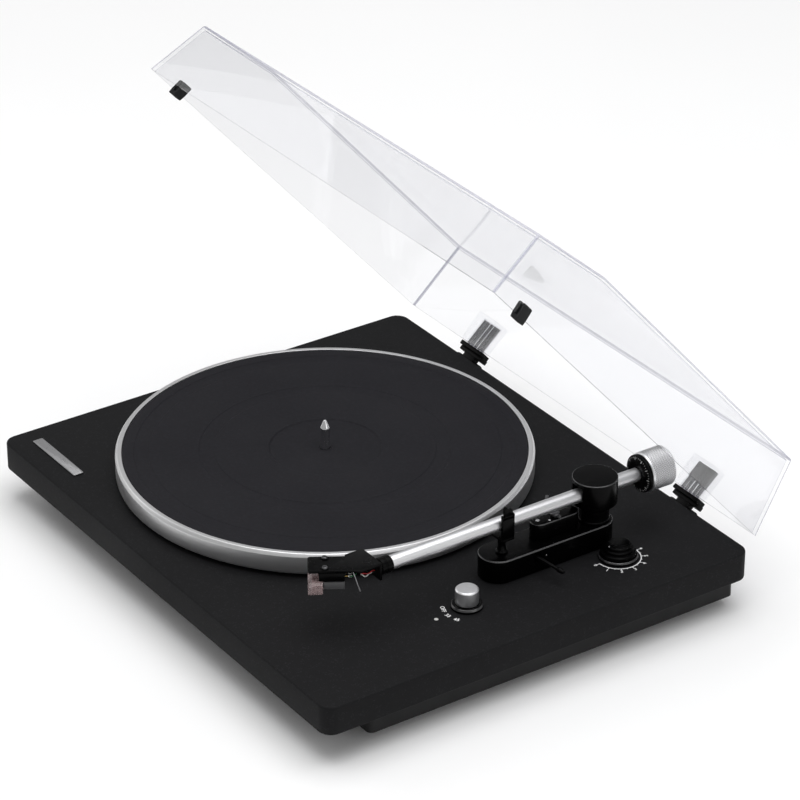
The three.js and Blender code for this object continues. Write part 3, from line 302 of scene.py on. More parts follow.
def add(name, bm, body, material, stands_for=(), place=None, smooth=32, also=()):
    """Makes the piece from a shape on the deck, puts it in the row frame and rides it on its body."""
    bm.transform(TO_ROW @ (place or Matrix.Identity(4)))
    name = "look_" + name
    mesh = bpy.data.meshes.new(name)
    bm.to_mesh(mesh)
    bm.free()
    mesh.shade_smooth()
    mesh.set_sharp_from_angle(angle=math.radians(smooth))
    mesh.materials.append(material)
    for other in also:
        mesh.materials.append(other)
    made = bpy.data.objects.new(name, mesh)
    in_scene(made)
    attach(made, body)
    if stands_for:
        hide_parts(*stands_for)
    return made


def add_gloss(name, bm, body, node, with_painted_highlight=True):
    """A gloss black piece; when asked, its upward chamfers get a painted highlight."""
    if with_painted_highlight:
        mark_slopes(bm)
    add(name, bm, body, gloss_black, [node], also=[painted_highlight_black] if with_painted_highlight else ())


def mark_slopes(bm):
    """Gives the upward chamfers and rounded top edges the second material, a lighter black that is a painted
    highlight.
    """
    bm.normal_update()
    for face in bm.faces:
        face.material_index = 1 if 0.2 < face.normal.z < 0.96 else 0
    return bm


# ------------------------------------------------------------------ materials


class Surface:
    """A node material round one Principled shader."""

    def __init__(self, name, color, roughness, metallic=0.0, specular=0.5, coat=0.0):
        self.material = bpy.data.materials.new(name)
        self.material.use_nodes = True
        self.tree = self.material.node_tree
        self.shader = self.tree.nodes["Principled BSDF"]
        self.color = color
        self.roughness = roughness
        self.shader.inputs["Base Color"].default_value = (*color, 1)
        self.shader.inputs["Roughness"].default_value = roughness
        self.shader.inputs["Metallic"].default_value = metallic
        self.shader.inputs["Specular IOR Level"].default_value = specular
        self.shader.inputs["Coat Weight"].default_value = coat
        self.shader.inputs["Coat Roughness"].default_value = 0.08
        self.coordinates = self.node("ShaderNodeTexCoord").outputs["Object"]
        self.heights = []

    def link(self, output, socket):
        self.tree.links.new(output, socket)

    def node(self, kind, **inputs):
        made = self.tree.nodes.new(kind)
        for key, value in inputs.items():
            if hasattr(value, "is_output"):
                self.link(value, made.inputs[key])
            else:
                made.inputs[key].default_value = value
        return made

    def math(self, operation, a, b=0.0):
        made = self.tree.nodes.new("ShaderNodeMath")
        made.operation = operation
        for i, value in enumerate((a, b)):
            if hasattr(value, "is_output"):
                self.link(value, made.inputs[i])
            else:
                made.inputs[i].default_value = value
        return made.outputs[0]

    def stretched(self, scale):
        return self.node("ShaderNodeMapping", Vector=self.coordinates, Scale=scale).outputs[0]

    def noise(self, scale, detail=3.0, stretch=None, roughness=0.5):
        vector = self.stretched(stretch) if stretch else self.coordinates
        made = self.node("ShaderNodeTexNoise", Vector=vector, Scale=scale, Detail=detail, Roughness=roughness)
        return made.outputs[0]

    def about_axis(self, x, y, around=0.002):
        """Coordinates for turned metal: distance from an upright axis, height, and a little of the angle."""
        centre = DECK + Vector((x, y, 0)) / 1000
        apart = self.tree.nodes.new("ShaderNodeSeparateXYZ")
        self.link(self.coordinates, apart.inputs[0])
        dx = self.math("SUBTRACT", apart.outputs[0], centre.x)
        dy = self.math("SUBTRACT", apart.outputs[1], centre.y)
        radius = self.math("SQRT", self.math("ADD", self.math("MULTIPLY", dx, dx),
                                             self.math("MULTIPLY", dy, dy)))
        angle = self.math("MULTIPLY", self.math("ARCTAN2", dy, dx), around)
        made = self.tree.nodes.new("ShaderNodeCombineXYZ")
        self.link(radius, made.inputs[0])
        self.link(angle, made.inputs[1])
        self.link(apart.outputs[2], made.inputs[2])
        self.coordinates = made.outputs[0]
        return self

    def tone(self, factor, low, high, start=0.35, end=0.65):
        """Colour that goes from low to high with the factor."""
        ramp = self.node("ShaderNodeMapRange", Value=factor, **{"From Min": start, "From Max": end})
        mix = self.tree.nodes.new("ShaderNodeMix")
        mix.data_type = "RGBA"
        self.link(ramp.outputs[0], mix.inputs[0])
        mix.inputs[6].default_value = (*low, 1)
        mix.inputs[7].default_value = (*high, 1)
        self.link(mix.outputs[2], self.shader.inputs["Base Color"])
        return self

    def gloss(self, factor, spread, start=0.3, end=0.7):
        low = max(0.02, self.roughness - spread)
        high = min(1, self.roughness + spread)
        made = self.node(
            "ShaderNodeMapRange",
            Value=factor,
            **{"From Min": start, "From Max": end, "To Min": low, "To Max": high},
        )
        self.link(made.outputs[0], self.shader.inputs["Roughness"])
        return self

    def bump(self, height, distance_mm, strength=1.0):
        made = self.node("ShaderNodeBump", Strength=strength, Distance=distance_mm / 1000, Height=height)
        if self.heights:
            self.link(self.heights[-1], made.inputs["Normal"])
        self.heights.append(made.outputs[0])
        self.link(made.outputs[0], self.shader.inputs["Normal"])
        return self


def shade(color, factor):
    return tuple(min(1, c * factor) for c in color)


def moulded(name, color, roughness, specular=0.5, coat=0.0, grain=1400, depth=0.004, spread=0.06):
    """Plastic: faint moulding texture, smears in the gloss and a slight change of tone."""
    made = Surface(name, color, roughness, specular=specular, coat=coat)
    made.gloss(made.noise(70, 5), spread)
    made.tone(made.noise(22, 4), shade(color, 0.88), shade(color, 1.14))
    made.bump(made.noise(grain, 2), depth)
    return made.material


def machined(name, color, roughness, axis=None, stretch=(1, 1, 1), depth=0.0025, spread=0.08, grain=2600):
    """Metal with fine tool lines, round an upright axis or along a direction."""
    made = Surface(name, color, roughness, metallic=1.0)
    if axis:
        made.about_axis(*axis)
    lines = made.noise(grain, 2, stretch=stretch)
    made.gloss(lines, spread)
    made.tone(made.noise(60, 3, stretch=stretch), shade(color, 0.94), shade(color, 1.04))
    made.bump(lines, depth)
    return made.material


def plinth_material():
    """Black film over board: a fine grained skin with small paler flecks."""
    black = (0.006, 0.006, 0.0066)
    made = Surface("plinth_skin", black, 0.66, specular=0.13)
    flecks = made.node("ShaderNodeTexVoronoi", Vector=made.coordinates, Scale=620.0)
    spots = made.math("LESS_THAN", flecks.outputs["Distance"], 0.34)
    chosen = made.math("GREATER_THAN", made.noise(240, 2), 0.52)
    fleck = made.math("MULTIPLY", spots, chosen)
    grain = made.noise(1500, 3, roughness=0.6)
    made.tone(made.math("ADD", made.math("MULTIPLY", fleck, 0.42), made.math("MULTIPLY", grain, 0.5)),
              black, (0.016, 0.016, 0.018), 0.2, 0.9)
    made.gloss(made.noise(9, 4), 0.05)
    made.bump(made.noise(950, 3, roughness=0.65), 0.03)
    made.bump(made.noise(300, 2), 0.02)
    return made.material


def mat_material(x, y):
    """Rubber with a very fine turned texture and a little dust."""
    dark = (0.0105, 0.0101, 0.0128)
    made = Surface("mat_rubber", dark, 0.66, specular=0.15)
    dust = made.noise(400, 4, roughness=0.7)
    made.tone(dust, dark, shade(dark, 1.5), 0.45, 0.8)
    made.gloss(made.noise(14, 3), 0.07)
    made.bump(made.noise(1800, 2), 0.012)
    made.about_axis(x, y, around=0.001)
    made.bump(made.noise(700, 1), 0.01)
    return made.material


def clear_material(name, tint, gloss=0.9, roughness=0.03, haze=0.0, edge_color=None):
    """Clear sheet: it lets light through with a slight tint and shines more the flatter it is seen."""
    made = Surface(name, (0.8, 0.83, 0.88), roughness, specular=0.5)
    smear = made.noise(2.5, 1)
    facing = made.node("ShaderNodeLayerWeight", Blend=0.5).outputs["Facing"]
    shine = made.math("ADD", 0.035, made.math("MULTIPLY", gloss, made.math("POWER", facing, 4.0)))
    reflect = made.node("ShaderNodeBsdfGlossy", Color=(1, 1, 1, 1))
    ramp = made.node(
        "ShaderNodeMapRange",
        Value=smear,
        **{"From Min": 0.4, "From Max": 0.75, "To Min": roughness, "To Max": roughness + 0.01},
    )
    made.link(ramp.outputs[0], reflect.inputs["Roughness"])
    see = made.node("ShaderNodeBsdfTransparent", Color=(*tint, 1))
    body = made.tree.nodes.new("ShaderNodeMixShader")
    body.inputs[0].default_value = haze
    made.link(see.outputs[0], body.inputs[1])
    made.link(made.shader.outputs[0], body.inputs[2])
    mix = made.tree.nodes.new("ShaderNodeMixShader")
    made.link(shine, mix.inputs[0])
    made.link(body.outputs[0], mix.inputs[1])
    made.link(reflect.outputs[0], mix.inputs[2])
    if edge_color:
        made.shader.inputs["Base Color"].default_value = (*edge_color, 1)
    made.link(mix.outputs[0], made.tree.nodes["Material Output"].inputs["Surface"])
    return made.material


def printed_material():
    made = Surface("print_white", (0.9, 0.9, 0.9), 0.5)
    made.tone(made.noise(900, 3), (0.84, 0.84, 0.84), (0.95, 0.95, 0.95))
    return made.material


PLATTER_AXIS = (middle("platter").x, middle("platter").y)
KNOB_AXIS = (middle("speed_knob").x, middle("speed_knob").y)
SKATE_AXIS = (middle("anti_skate_dial").x, middle("anti_skate_dial").y)
PIVOT = (middle("arm_yoke").x, middle("arm_yoke").y, middle("arm_tube").z)

plinth_skin = plinth_material()
matte_black = moulded("matte_black", (0.006, 0.006, 0.0063), 0.5, specular=0.25, grain=900, depth=0.01)
satin_black = moulded("satin_black", (0.0015, 0.0015, 0.0016), 0.3, specular=0.07, grain=1100, depth=0.004)
gloss_black = moulded("gloss_black", (0.0008, 0.0008, 0.0009), 0.2, specular=0.07, depth=0.001, spread=0.03)
# A lighter, shinier black for the upward chamfers: a painted highlight.
painted_highlight_black = moulded("painted_highlight_black", (0.02, 0.02, 0.021), 0.2, specular=0.9, depth=0.001, spread=0.04)
foot_rubber = moulded("foot_rubber", (0.013, 0.013, 0.014), 0.8, specular=0.3, grain=500, depth=0.02)
mat_rubber = mat_material(*PLATTER_AXIS)
platter_metal = machined("platter_metal", (0.8, 0.8, 0.805), 0.38, axis=PLATTER_AXIS, depth=0.0006,
                         spread=0.03)
knob_metal = machined("knob_metal", (0.86, 0.86, 0.87), 0.36, axis=KNOB_AXIS, depth=0.0008, spread=0.04)
tube_metal = machined("tube_metal", (0.7, 0.7, 0.71), 0.42, stretch=(1, 0.03, 1), depth=0.0002, spread=0.03)
weight_metal = machined("weight_metal", (0.88, 0.88, 0.89), 0.34, depth=0.0006, spread=0.04)
bright_steel = machined("bright_steel", (0.78, 0.78, 0.79), 0.12, depth=0.0008, spread=0.03)
dark_steel = machined("dark_steel", (0.16, 0.16, 0.165), 0.3, depth=0.001, spread=0.05)
# A darker metal for the knurl's grooves: painted shade.
groove_shade_metal = machined("groove_shade_metal", (0.3, 0.3, 0.31), 0.42, depth=0.001)
badge_metal = machined("badge_metal", (0.5, 0.5, 0.51), 0.34, stretch=(0.05, 1, 1), depth=0.001)
motor_metal = machined("motor_metal", (0.33, 0.33, 0.34), 0.42, depth=0.003)
brass = machined("brass", (0.62, 0.45, 0.17), 0.26, depth=0.002)
clear_cover = clear_material("clear_cover", (0.972, 0.973, 0.979), gloss=0.35, roughness=0.02)
cover_edge = clear_material("cover_edge", (0.4, 0.4, 0.43), gloss=0.2, haze=0.4, edge_color=(0.2, 0.2, 0.23))
# A grey haze for the cover's bends and the hinge ribs: painted highlight.
cover_bend_highlight = clear_material("cover_bend_highlight", (0.74, 0.74, 0.8), gloss=0.3, haze=0.3, edge_color=(0.5, 0.5, 0.57))
clear_guard = clear_material("clear_guard", (0.92, 0.86, 0.86), gloss=0.6, haze=0.3,
                             edge_color=(0.62, 0.5, 0.5))
grey_plastic = moulded("grey_plastic", (0.075, 0.075, 0.078), 0.42)
print_white = printed_material()
red_plastic = moulded("red_plastic", (0.42, 0.02, 0.025), 0.35)
white_plastic = moulded("white_plastic", (0.72, 0.72, 0.7), 0.4)
green_plastic = moulded("green_plastic", (0.02, 0.16, 0.06), 0.4)
blue_plastic = moulded("blue_plastic", (0.02, 0.06, 0.3), 0.4)
board_green = moulded("board_green", (0.015, 0.08, 0.03), 0.4, coat=0.3)
lamp_lens = moulded("lamp_lens", (0.6, 0.6, 0.58), 0.3)


# ------------------------------------------------------------------ base


def recolour(node, material):
    """A CAD node kept as it is, in this material."""
    nodes[node].data.materials.clear()
    nodes[node].data.materials.append(material)


slab_low, slab_high = deck_box("plinth_slab")
slab = prism(
    rounded_rectangle(slab_low.x, slab_low.y, slab_high.x, slab_high.y, 10, 16),
    slab_low.z, slab_high.z, edge=1.3, segments=4,
)
add("plinth", slab, "base", plinth_skin, ["plinth_slab"])

for name in ("sub_base_frame", "bottom_panel", "terminal_plate", "power_inlet", "speed_switch"):
    recolour(name, matte_black)

for name in ("foot_front_left", "foot_front_right", "foot_rear_left", "foot_rear_right"):
    low, high, centre, radius = measured(name)
    profile = [(0, low.z + 3), (6, low.z + 3), (6, low.z), (radius - 1.6, low.z)]
    profile += [(radius - 1.1, low.z + 2.6), (radius - 0.6, low.z + 3), (radius, high.z), (0, high.z)]
    add(name, moved(turned(profile, 0.5, 64), centre.x, centre.y), "base", foot_rubber,
        [name])

for name, material in (("circuit_board", board_green), ("bearing_housing", brass),
                       ("drive_motor", motor_metal),
                       ("motor_pulley", brass), ("drive_belt", foot_rubber), ("ground_post", brass),
                       ("phono_switch", grey_plastic), ("sub_platter", matte_black),
                       ("pivot_pin_left", bright_steel), ("pivot_pin_right", bright_steel),
                       ("weight_bush", matte_black)):
    recolour(name, material)

for name, material, slot in (("phono_jack_right", red_plastic, "jack_red"),
                             ("phono_jack_left", white_plastic, "jack_white")):
    low, high, centre, radius = measured(name)
    length = high.y - low.y
    shell = turned([(0, 0), (radius, 0), (radius, length - 3.2), (radius - 0.5, length - 3.2),
                    (radius - 0.5, length), (2.9, length), (2.9, length - 7), (0, length - 7)], 0.2, 48)
    add(name, moved(lying(shell), centre.x, low.y, centre.z), "base", bright_steel, [name])
    insert = turned_ring([(1.7, length - 8), (2.85, length - 8), (2.85, length - 0.8), (1.7, length - 0.8)],
                         0.15, 40)
    add("insert_" + name, moved(lying(insert), centre.x, low.y, centre.z), "base", material)

low, high = deck_box("ground_nut")
centre = (low + high) / 2
grip = []
for i in range(96):
    angle = math.tau * i / 96
    radius = 4.0 - 0.28 * abs(math.sin(12 * angle))
    grip.append((radius * math.cos(angle), radius * math.sin(angle)))
nut = carved(prism(grip, 0, high.y - low.y, 0.25), drill(2.2, -1, 9))
add("ground_nut", moved(lying(nut), centre.x, low.y, centre.z), "ground_nut", brass, ["ground_nut"])

low, high = deck_box("badge_plate")
plate = prism(rounded_rectangle(low.x, low.y, high.x, high.y, 1.0, 6), low.z, high.z, 0.18)
add("badge", plate, "base", badge_metal, ["badge_plate"])


# ------------------------------------------------------------------ platter

px, py = PLATTER_AXIS
low, high = deck_box("platter")
radius = (high.x - low.x) / 2
mat_low, mat_high = deck_box("platter_mat")
mat_radius = (mat_high.x - mat_low.x) / 2
dish_floor = mat_low.z - GAP
dish = [(4.3, dish_floor), (4.3, dish_floor - 2.5), (141, dish_floor - 2.5), (141, low.z),
        (radius - 1.2, low.z), (radius, low.z + 1.2), (radius, high.z - 2.2), (radius - 1.6, high.z),
        (mat_radius + 0.35, high.z), (mat_radius + 0.3, dish_floor)]
add("platter", moved(turned_ring(dish, 0.35, 192), px, py), "platter", platter_metal, ["platter"])

top = mat_high.z
rubber = [(3.9, mat_low.z), (mat_radius - 0.1, mat_low.z), (mat_radius - 0.1, top - 0.35),
          (mat_radius - 0.6, top),
          (136.9, top), (136.2, top - 0.5), (126.3, top - 0.5), (125.7, top - 0.05),
          (90.4, top - 0.05), (89.8, top - 0.5), (79.8, top - 0.5), (79.2, top - 0.05),
          (40.5, top - 0.05), (39.5, top - 0.95), (3.9, top - 0.95)]
add("mat", moved(turned_ring(rubber, 0.25, 192), px, py), "platter", mat_rubber, ["platter_mat"])

low, high = deck_box("platter_spindle")
pin = [(0, low.z), (4, low.z), (4, dish_floor - 0.3), (3.6, dish_floor), (3.6, high.z - 6.2),
       (3.45, high.z - 5.5), (1.1, high.z - 0.3), (0.8, high.z), (0, high.z)]
add("spindle", moved(turned(pin, 0.25, 64), px, py), "platter", bright_steel, ["platter_spindle"])


# ------------------------------------------------------------------ controls

kx, ky = KNOB_AXIS
low, high = deck_box("speed_knob")
skirt_low, skirt_high = deck_box("knob_skirt")
foot_z = skirt_high.z + GAP
stem = [(0, low.z), (3, low.z), (3, foot_z), (8.0, foot_z), (8.1, foot_z + 0.4), (8.1, high.z - 0.9),
        (7.2, high.z), (1.5, high.z), (0, high.z - 0.05)]
add("knob", moved(turned(stem, 0.22, 96), kx, ky), "speed_knob", knob_metal, ["speed_knob"])
ring = [(3.3, skirt_low.z), (11.3, skirt_low.z), (11.3, skirt_high.z - 1.2), (10.4, skirt_high.z),
        (3.3, skirt_high.z)]
add_gloss("skirt", moved(turned_ring(ring, 0.3, 96), kx, ky), "base", "knob_skirt")
glint = math.radians(-109)
spot = moved(turned([(0, 0), (0.9, 0), (0.9, 0.18), (0.6, 0.3), (0, 0.34)], 0.1, 24),
             kx + 9.6 * math.cos(glint), ky + 9.6 * math.sin(glint), skirt_high.z - 0.35)
add("indicator", spot, "base", red_plastic)

sx, sy = SKATE_AXIS
low, high = deck_box("anti_skate_flange")
ring = [(2.8, low.z), (14, low.z), (14, high.z - 0.9), (13.2, high.z), (2.8, high.z)]
add_gloss("skate_flange", moved(turned_ring(ring, 0.25, 96), sx, sy), "base", "anti_skate_flange")
low, high = deck_box("anti_skate_dial")
bottom = deck_box("anti_skate_flange")[1].z + GAP
steps = [(0, low.z), (2.5, low.z), (2.5, bottom), (12.3, bottom), (12.4, bottom + 1.9), (11.6, bottom + 2.7),
         (10.5, bottom + 2.8), (10.4, bottom + 4.7), (9.8, bottom + 5.3), (9.0, bottom + 5.4),
         (8.9, high.z - 0.7), (8.2, high.z), (0, high.z)]
add_gloss("skate_dial", moved(turned(steps, 0.2, 96), sx, sy), "anti_skate_dial", "anti_skate_dial", False)
notch = block((sx - 0.35, sy - 8.4, high.z - 0.25), (sx + 0.35, sy - 4.6, high.z), 0.05)
add("skate_mark", notch, "anti_skate_dial", print_white)

low, high = deck_box("status_led")
centre = (low + high) / 2
lens = [(0, low.z), (1.5, low.z), (1.5, 0.05), (1.1, high.z - 0.1), (0, high.z)]
add("lamp", moved(turned(lens, 0.15, 32), centre.x, centre.y), "base", lamp_lens, ["status_led"])


def print_text(name, text, x, y, size, turn=0.0, z=0.0, body="base"):
    """Generic figures printed on a face."""
    curve = bpy.data.curves.new(name, "FONT")
    curve.body = text
    curve.size = size
    curve.align_x = "CENTER"
    curve.align_y = "CENTER"
    curve.extrude = 0.03
    curve.offset = 0.06
    curve.resolution_u = 4
    source = bpy.data.objects.new(name + "_source", curve)
    in_scene(source)
    graph = bpy.context.evaluated_depsgraph_get()
    mesh = bpy.data.meshes.new_from_object(source.evaluated_get(graph))
    bpy.data.objects.remove(source)
    bm = bmesh.new()
    bm.from_mesh(mesh)
    bm.transform(Matrix.Translation((x, y, z + 0.04)) @ Matrix.Rotation(math.radians(turn), 4, "Z"))
    return add(name, bm, body, print_white)


def around(cx, cy, radius, degrees):
    a = math.radians(degrees)
    return cx + radius * math.cos(a), cy + radius * math.sin(a)


for text, degrees, distance in (("OFF", -111, 16.6), ("33", -82, 17.6), ("45", -57, 18.4)):
    x, y = around(kx, ky, distance, degrees)
    print_text("speed_" + text, text, x, y, 4.2, degrees + 90)

# The anti-skate scale: half a circle, short ticks and figures.
scale_arc = [around(sx, sy, 15.5, -90 + 180 * i / 64) for i in range(65)]
scale_arc += [around(sx, sy, 16.2, 90 - 180 * i / 64) for i in range(65)]
parts = [prism(scale_arc, 0.0, 0.06, 0)]
for i in range(13):
    degrees = -90 + 15 * i
    reach = 17.4 if i % 2 == 0 else 16.8
    tick = [around(sx, sy, 15.9, degrees - 1.0), around(sx, sy, reach, degrees - 1.0),
            around(sx, sy, reach, degrees + 1.0), around(sx, sy, 15.9, degrees + 1.0)]
    parts.append(prism(tick, 0.0, 0.06, 0))
add("skate_scale", together(*parts), "base", print_white)
for i in range(7):
    x, y = around(sx, sy, 19.4, -90 + 30 * i)
    print_text("skate_%d" % i, str(i), x, y, 3.9, 30 * i)


# ------------------------------------------------------------------ tonearm base

low, high = deck_box("arm_base")
base_x = (low.x + high.x) / 2
half_base = (high.x - low.x) / 2
outline = obround(base_x, low.y + half_base, high.y - half_base, half_base, 40)
body = prism(outline, low.z, high.z, 1.0, 3)
slot_tool = block((base_x + half_base - 8.5, 33.8, 8.5), (base_x + half_base + 2, 39.8, 16.5), 0)
add_gloss("arm_base", carved(body, slot_tool), "base", "arm_base")

ax, ay, az = PIVOT
low, high = deck_box("arm_pillar")
post = [(0, low.z), (11, low.z), (11, low.z + 1.4), (10.5, low.z + 1.8), (10.5, high.z - 1.2),
        (11, high.z - 0.8),
        (11, high.z), (3.3, high.z), (3.3, low.z + 1.5), (0, low.z + 1.5)]
add_gloss("pillar", moved(turned(post, 0.2, 96), ax, ay), "base", "arm_pillar", False)

low, high = deck_box("arm_yoke")
neck = deck_box("arm_pillar")[1].z + GAP
head = [(0, low.z), (3, low.z), (3, neck), (11, neck), (11, 31.4), (11.5, 32), (15.1, 32), (16, 32.9),
        (16, high.z - 0.5), (15.6, high.z), (0, high.z)]
channel = block((-5.8, -20, az - 8), (5.8, 20, az + 8), 0)
bore = lying(drill(1.8, -11.7, 11.7, 32), "X")
yoke = carved(turned(head, 0.28, 96), channel, moved(bore, 0, 0, az))
add_gloss("yoke", moved(yoke, ax, ay), "arm_yoke", "arm_yoke")

# The rest: a turned post, a cradle floor and an upright wall with ears for the latch.
low, high = deck_box("arm_rest")
rx, ry = ax, (low.y + high.y) / 2
post = [(0, low.z), (4.4, low.z), (4.4, low.z + 1.0), (3.2, low.z + 1.8), (2.7, 24), (3.2, 30.2), (0, 30.4)]
floor = block((-5.5, -5, 30.0), (7.9, 5, 32.2), 0.5, 3)
wall = block((5.5, -5, 31.6), (7.9, 5, 47.5), 0.5, 3)
parts = [moved(turned(post, 0.3, 40)), floor, wall]
for side in (-1, 1):
    y0, y1 = sorted((side * 3.8, side * 5.0))
    parts.append(block((5.5, y0, 46.6), (7.9, y1, high.z), 0.35, 3))
add_gloss("rest", moved(together(*parts), rx, ry), "base", "arm_rest", False)

low, high = deck_box("rest_latch")
latch_x = (low.x + high.x) / 2
LATCH_AXIS = 49.2
blade_outline = [(-3.4, LATCH_AXIS), (3.4, LATCH_AXIS), (3.4, 53.2), (2.6, 54.6), (0.6, 54.4), (-0.6, 54.8),
                 (-1.2, high.z),
                 (-2.6, high.z), (-3.4, 55.4)]
blade = prism(blade_outline, -1.15, 1.15, 0.3, 3)
blade.transform(Matrix(((0, 0, 1, 0), (1, 0, 0, 0), (0, 1, 0, 0), (0, 0, 0, 1))))
barrel = moved(lying(round_bar(1.4, -3.4, 3.4)), 0, 0, LATCH_AXIS)
pin = moved(lying(round_bar(0.6, -5, 5, 0.1, 20)), 0, 0, LATCH_AXIS)
add("latch", moved(together(blade, barrel, pin), latch_x, ry), "rest_latch", gloss_black, ["rest_latch"])

low, high = deck_box("lift_block")
lx = (low.x + high.x) / 2
half = (high.x - low.x) / 2
body = prism(obround(lx, low.y + half, high.y - half, half), low.z, high.z, 0.7, 3)
piston = (ax - 1.5, 61.3)
well = moved(drill(2.8, 19.2, 32), *piston)
add_gloss("lift_block", carved(body, well), "base", "lift_block")


def slotted_screw(x, y, z, radius, height, turn):
    """A cheese-head screw with its slot."""
    head = turned([(0, z), (radius, z), (radius, z + height * 0.6), (radius * 0.8, z + height),
                   (0, z + height)],
                  0.12, 40)
    reach, wide = radius * 1.2, radius * 0.16
    groove = block((-reach, -wide, z + height * 0.5), (reach, wide, z + height + 1), 0)
    groove.transform(Matrix.Rotation(math.radians(turn), 4, "Z"))
    return moved(carved(head, groove), x, y)


heads = [slotted_screw(lx, 47.5, 30.5, 1.5, 0.5, 30), slotted_screw(lx + 4.2, 54.5, 30.5, 0.9, 0.4, 80)]
add("lift_screws", together(*heads), "base", bright_steel)

low, high = deck_box("lift_bar")
bar = arc(ax, ay, 31.9, -82, -136, 40) + arc(ax, ay, 34.1, -136, -82, 40)
curved = prism(bar, 31, 32.6, 0.3, 3)
rod = moved(turned([(0, low.z), (2.5, low.z), (2.5, 30.8), (3.5, 30.8), (3.5, 32.8), (3.1, high.z),
                    (0, high.z)],
                   0.2, 48), *piston)
add("lift_bar", together(curved, rod), "lift_bar", dark_steel, ["lift_bar"])

root = Vector((base_x + half_base - 5.5, 36, 12.5))
tip = root + Vector((24, 6.5, -3.3))
along = (tip - root).normalized()
line = [root, root + along * 8, root + along * 16, tip]
stalk = sweep(line, [1.3, 1.25, 1.2, 1.2], 20)
knob_line = [tip - along * 3.2 + along * (6.4 * i / 12) for i in range(13)]
bulb = sweep(knob_line, [0.3 + 1.55 * math.sin(math.pi * (0.08 + 0.84 * i / 12)) ** 0.5 for i in range(13)],
             24)
hub = moved(lying(round_bar(2, -1.7, 1.7, 0.2, 40)), *root)
add("lever", together(stalk, bulb, hub), "cue_lever", satin_black, ["cue_lever"])
dot = lying(turned([(0, 0), (0.7, 0), (0.7, 0.25), (0, 0.3)], 0.1, 20), "X")
dot = moved(dot, base_x + half_base - 0.05, 44.5, 11.2)
add("lever_dot", dot, "base", bright_steel)


# ------------------------------------------------------------------ tonearm


def on_tube(bm):
    """Lays a turned shape along the tube's axis."""
    return moved(lying(bm), ax, 0, az)


low, high = deck_box("arm_tube")
stub_end = high.y
step_y = deck_box("force_dial")[0].y - GAP
tube = [(4.2, low.y), (5, low.y), (5, step_y), (3, step_y), (3, stub_end), (0.01, stub_end),
        (0.01, step_y - 8), (4.2, step_y - 8)]
tube_shape = lathe(eased(tube, 0.25, closed=True), 64, closed=True)
weld(tube_shape)
add("tube", on_tube(tube_shape), "tonearm", tube_metal, ["arm_tube"])

low, high = deck_box("arm_collar")
front_face = deck_box("arm_tube")[0].y
collar = [(0, low.y), (5.4, low.y), (6, low.y + 0.6), (6, low.y + 3.6), (5.7, low.y + 3.9),
          (5.7, low.y + 4.5),
          (6, low.y + 4.8), (6, front_face - 0.9), (5.6, front_face - 0.3), (3.9, front_face - 0.3),
          (3.9, high.y),
          (0, high.y)]
add("collar", on_tube(turned(collar, 0.2, 64)), "tonearm", satin_black, ["arm_collar"])

# The headshell: its elbow is where the nose turns inwards. s runs to the nose, t to the outer side.
ELBOW = Vector((ax - 6.4, -102.5))
HALF_NOSE, NOSE = 9.25, 29.4
TURN = math.radians(32.5)
FORWARD = Vector((-math.sin(TURN), -math.cos(TURN)))
OUTWARD = Vector((math.cos(TURN), -math.sin(TURN)))


def on_shell(s, t):
    p = ELBOW + s * FORWARD + t * OUTWARD
    return (p.x, p.y)


def shell_block(s0, s1, half, bottom, top, edge=0.3):
    """A block on the turned nose, from s0 to s1 along it."""
    corners = [on_shell(s0, -half), on_shell(s1, -half), on_shell(s1, half), on_shell(s0, half)]
    return prism(corners, bottom, top, edge)


SHELL_TOP = deck_box("headshell")[1].z
right, left = ELBOW.x + 11.9, ELBOW.x - 11.9
outline = [(right - 0.8, -86), (left + 0.8, -86), (left, -86.8), (left, ELBOW.y + 2), on_shell(4, -HALF_NOSE)]
outline += [on_shell(NOSE - a, t) for a, t in ((1.6, -HALF_NOSE), (0.4, 0.6 - HALF_NOSE),
                                               (0, 1.8 - HALF_NOSE))]
outline += [on_shell(NOSE - a, t) for a, t in ((0, HALF_NOSE - 1.8), (0.4, HALF_NOSE - 0.6),
                                               (1.6, HALF_NOSE))]
outline += [on_shell(4, HALF_NOSE), (right, ELBOW.y - 1), (right, -86.8)]
plate = prism(outline, SHELL_TOP - 2.2, SHELL_TOP, 0.45, 3)
screws = [on_shell(18, t) for t in (-6.35, 6.35)]
plate = carved(plate, *[moved(drill(1.5, 40, 50, 32), x, y) for x, y in screws])
wall = block((left, -88, 33.6), (right, -86, SHELL_TOP - 0.4), 0.4, 3)
rib = block((left + 3, -94, SHELL_TOP - 4.4), (left + 4.4, -87, SHELL_TOP - 1.6), 0.2)
rib_two = block((right - 4.4, -94, SHELL_TOP - 4.4), (right - 3, -87, SHELL_TOP - 1.6), 0.2)
add("shell", together(plate, wall, rib, rib_two), "tonearm", satin_black, ["headshell"])

for name, (x, y), turn in (("inner", screws[0], 25), ("outer", screws[1], 70)):
    low, high = deck_box("shell_screw_" + name)
    head = slotted_screw(x, y, SHELL_TOP + 0.35, 2.0, high.z - SHELL_TOP - 0.35, turn)
    shank = moved(turned([(0, low.z), (1.1, low.z), (1.1, SHELL_TOP + 0.5), (0, SHELL_TOP + 0.5)], 0.15,
                         24), x, y)
    add("screw_" + name, together(head, shank), "tonearm", dark_steel, ["shell_screw_" + name])
    washer = turned_ring([(1.5, SHELL_TOP + 0.02), (3.1, SHELL_TOP + 0.02), (3.1, SHELL_TOP + 0.3),
                          (1.5, SHELL_TOP + 0.3)], 0.08, 40)
    add("washer_" + name, moved(washer, x, y), "tonearm", gloss_black)

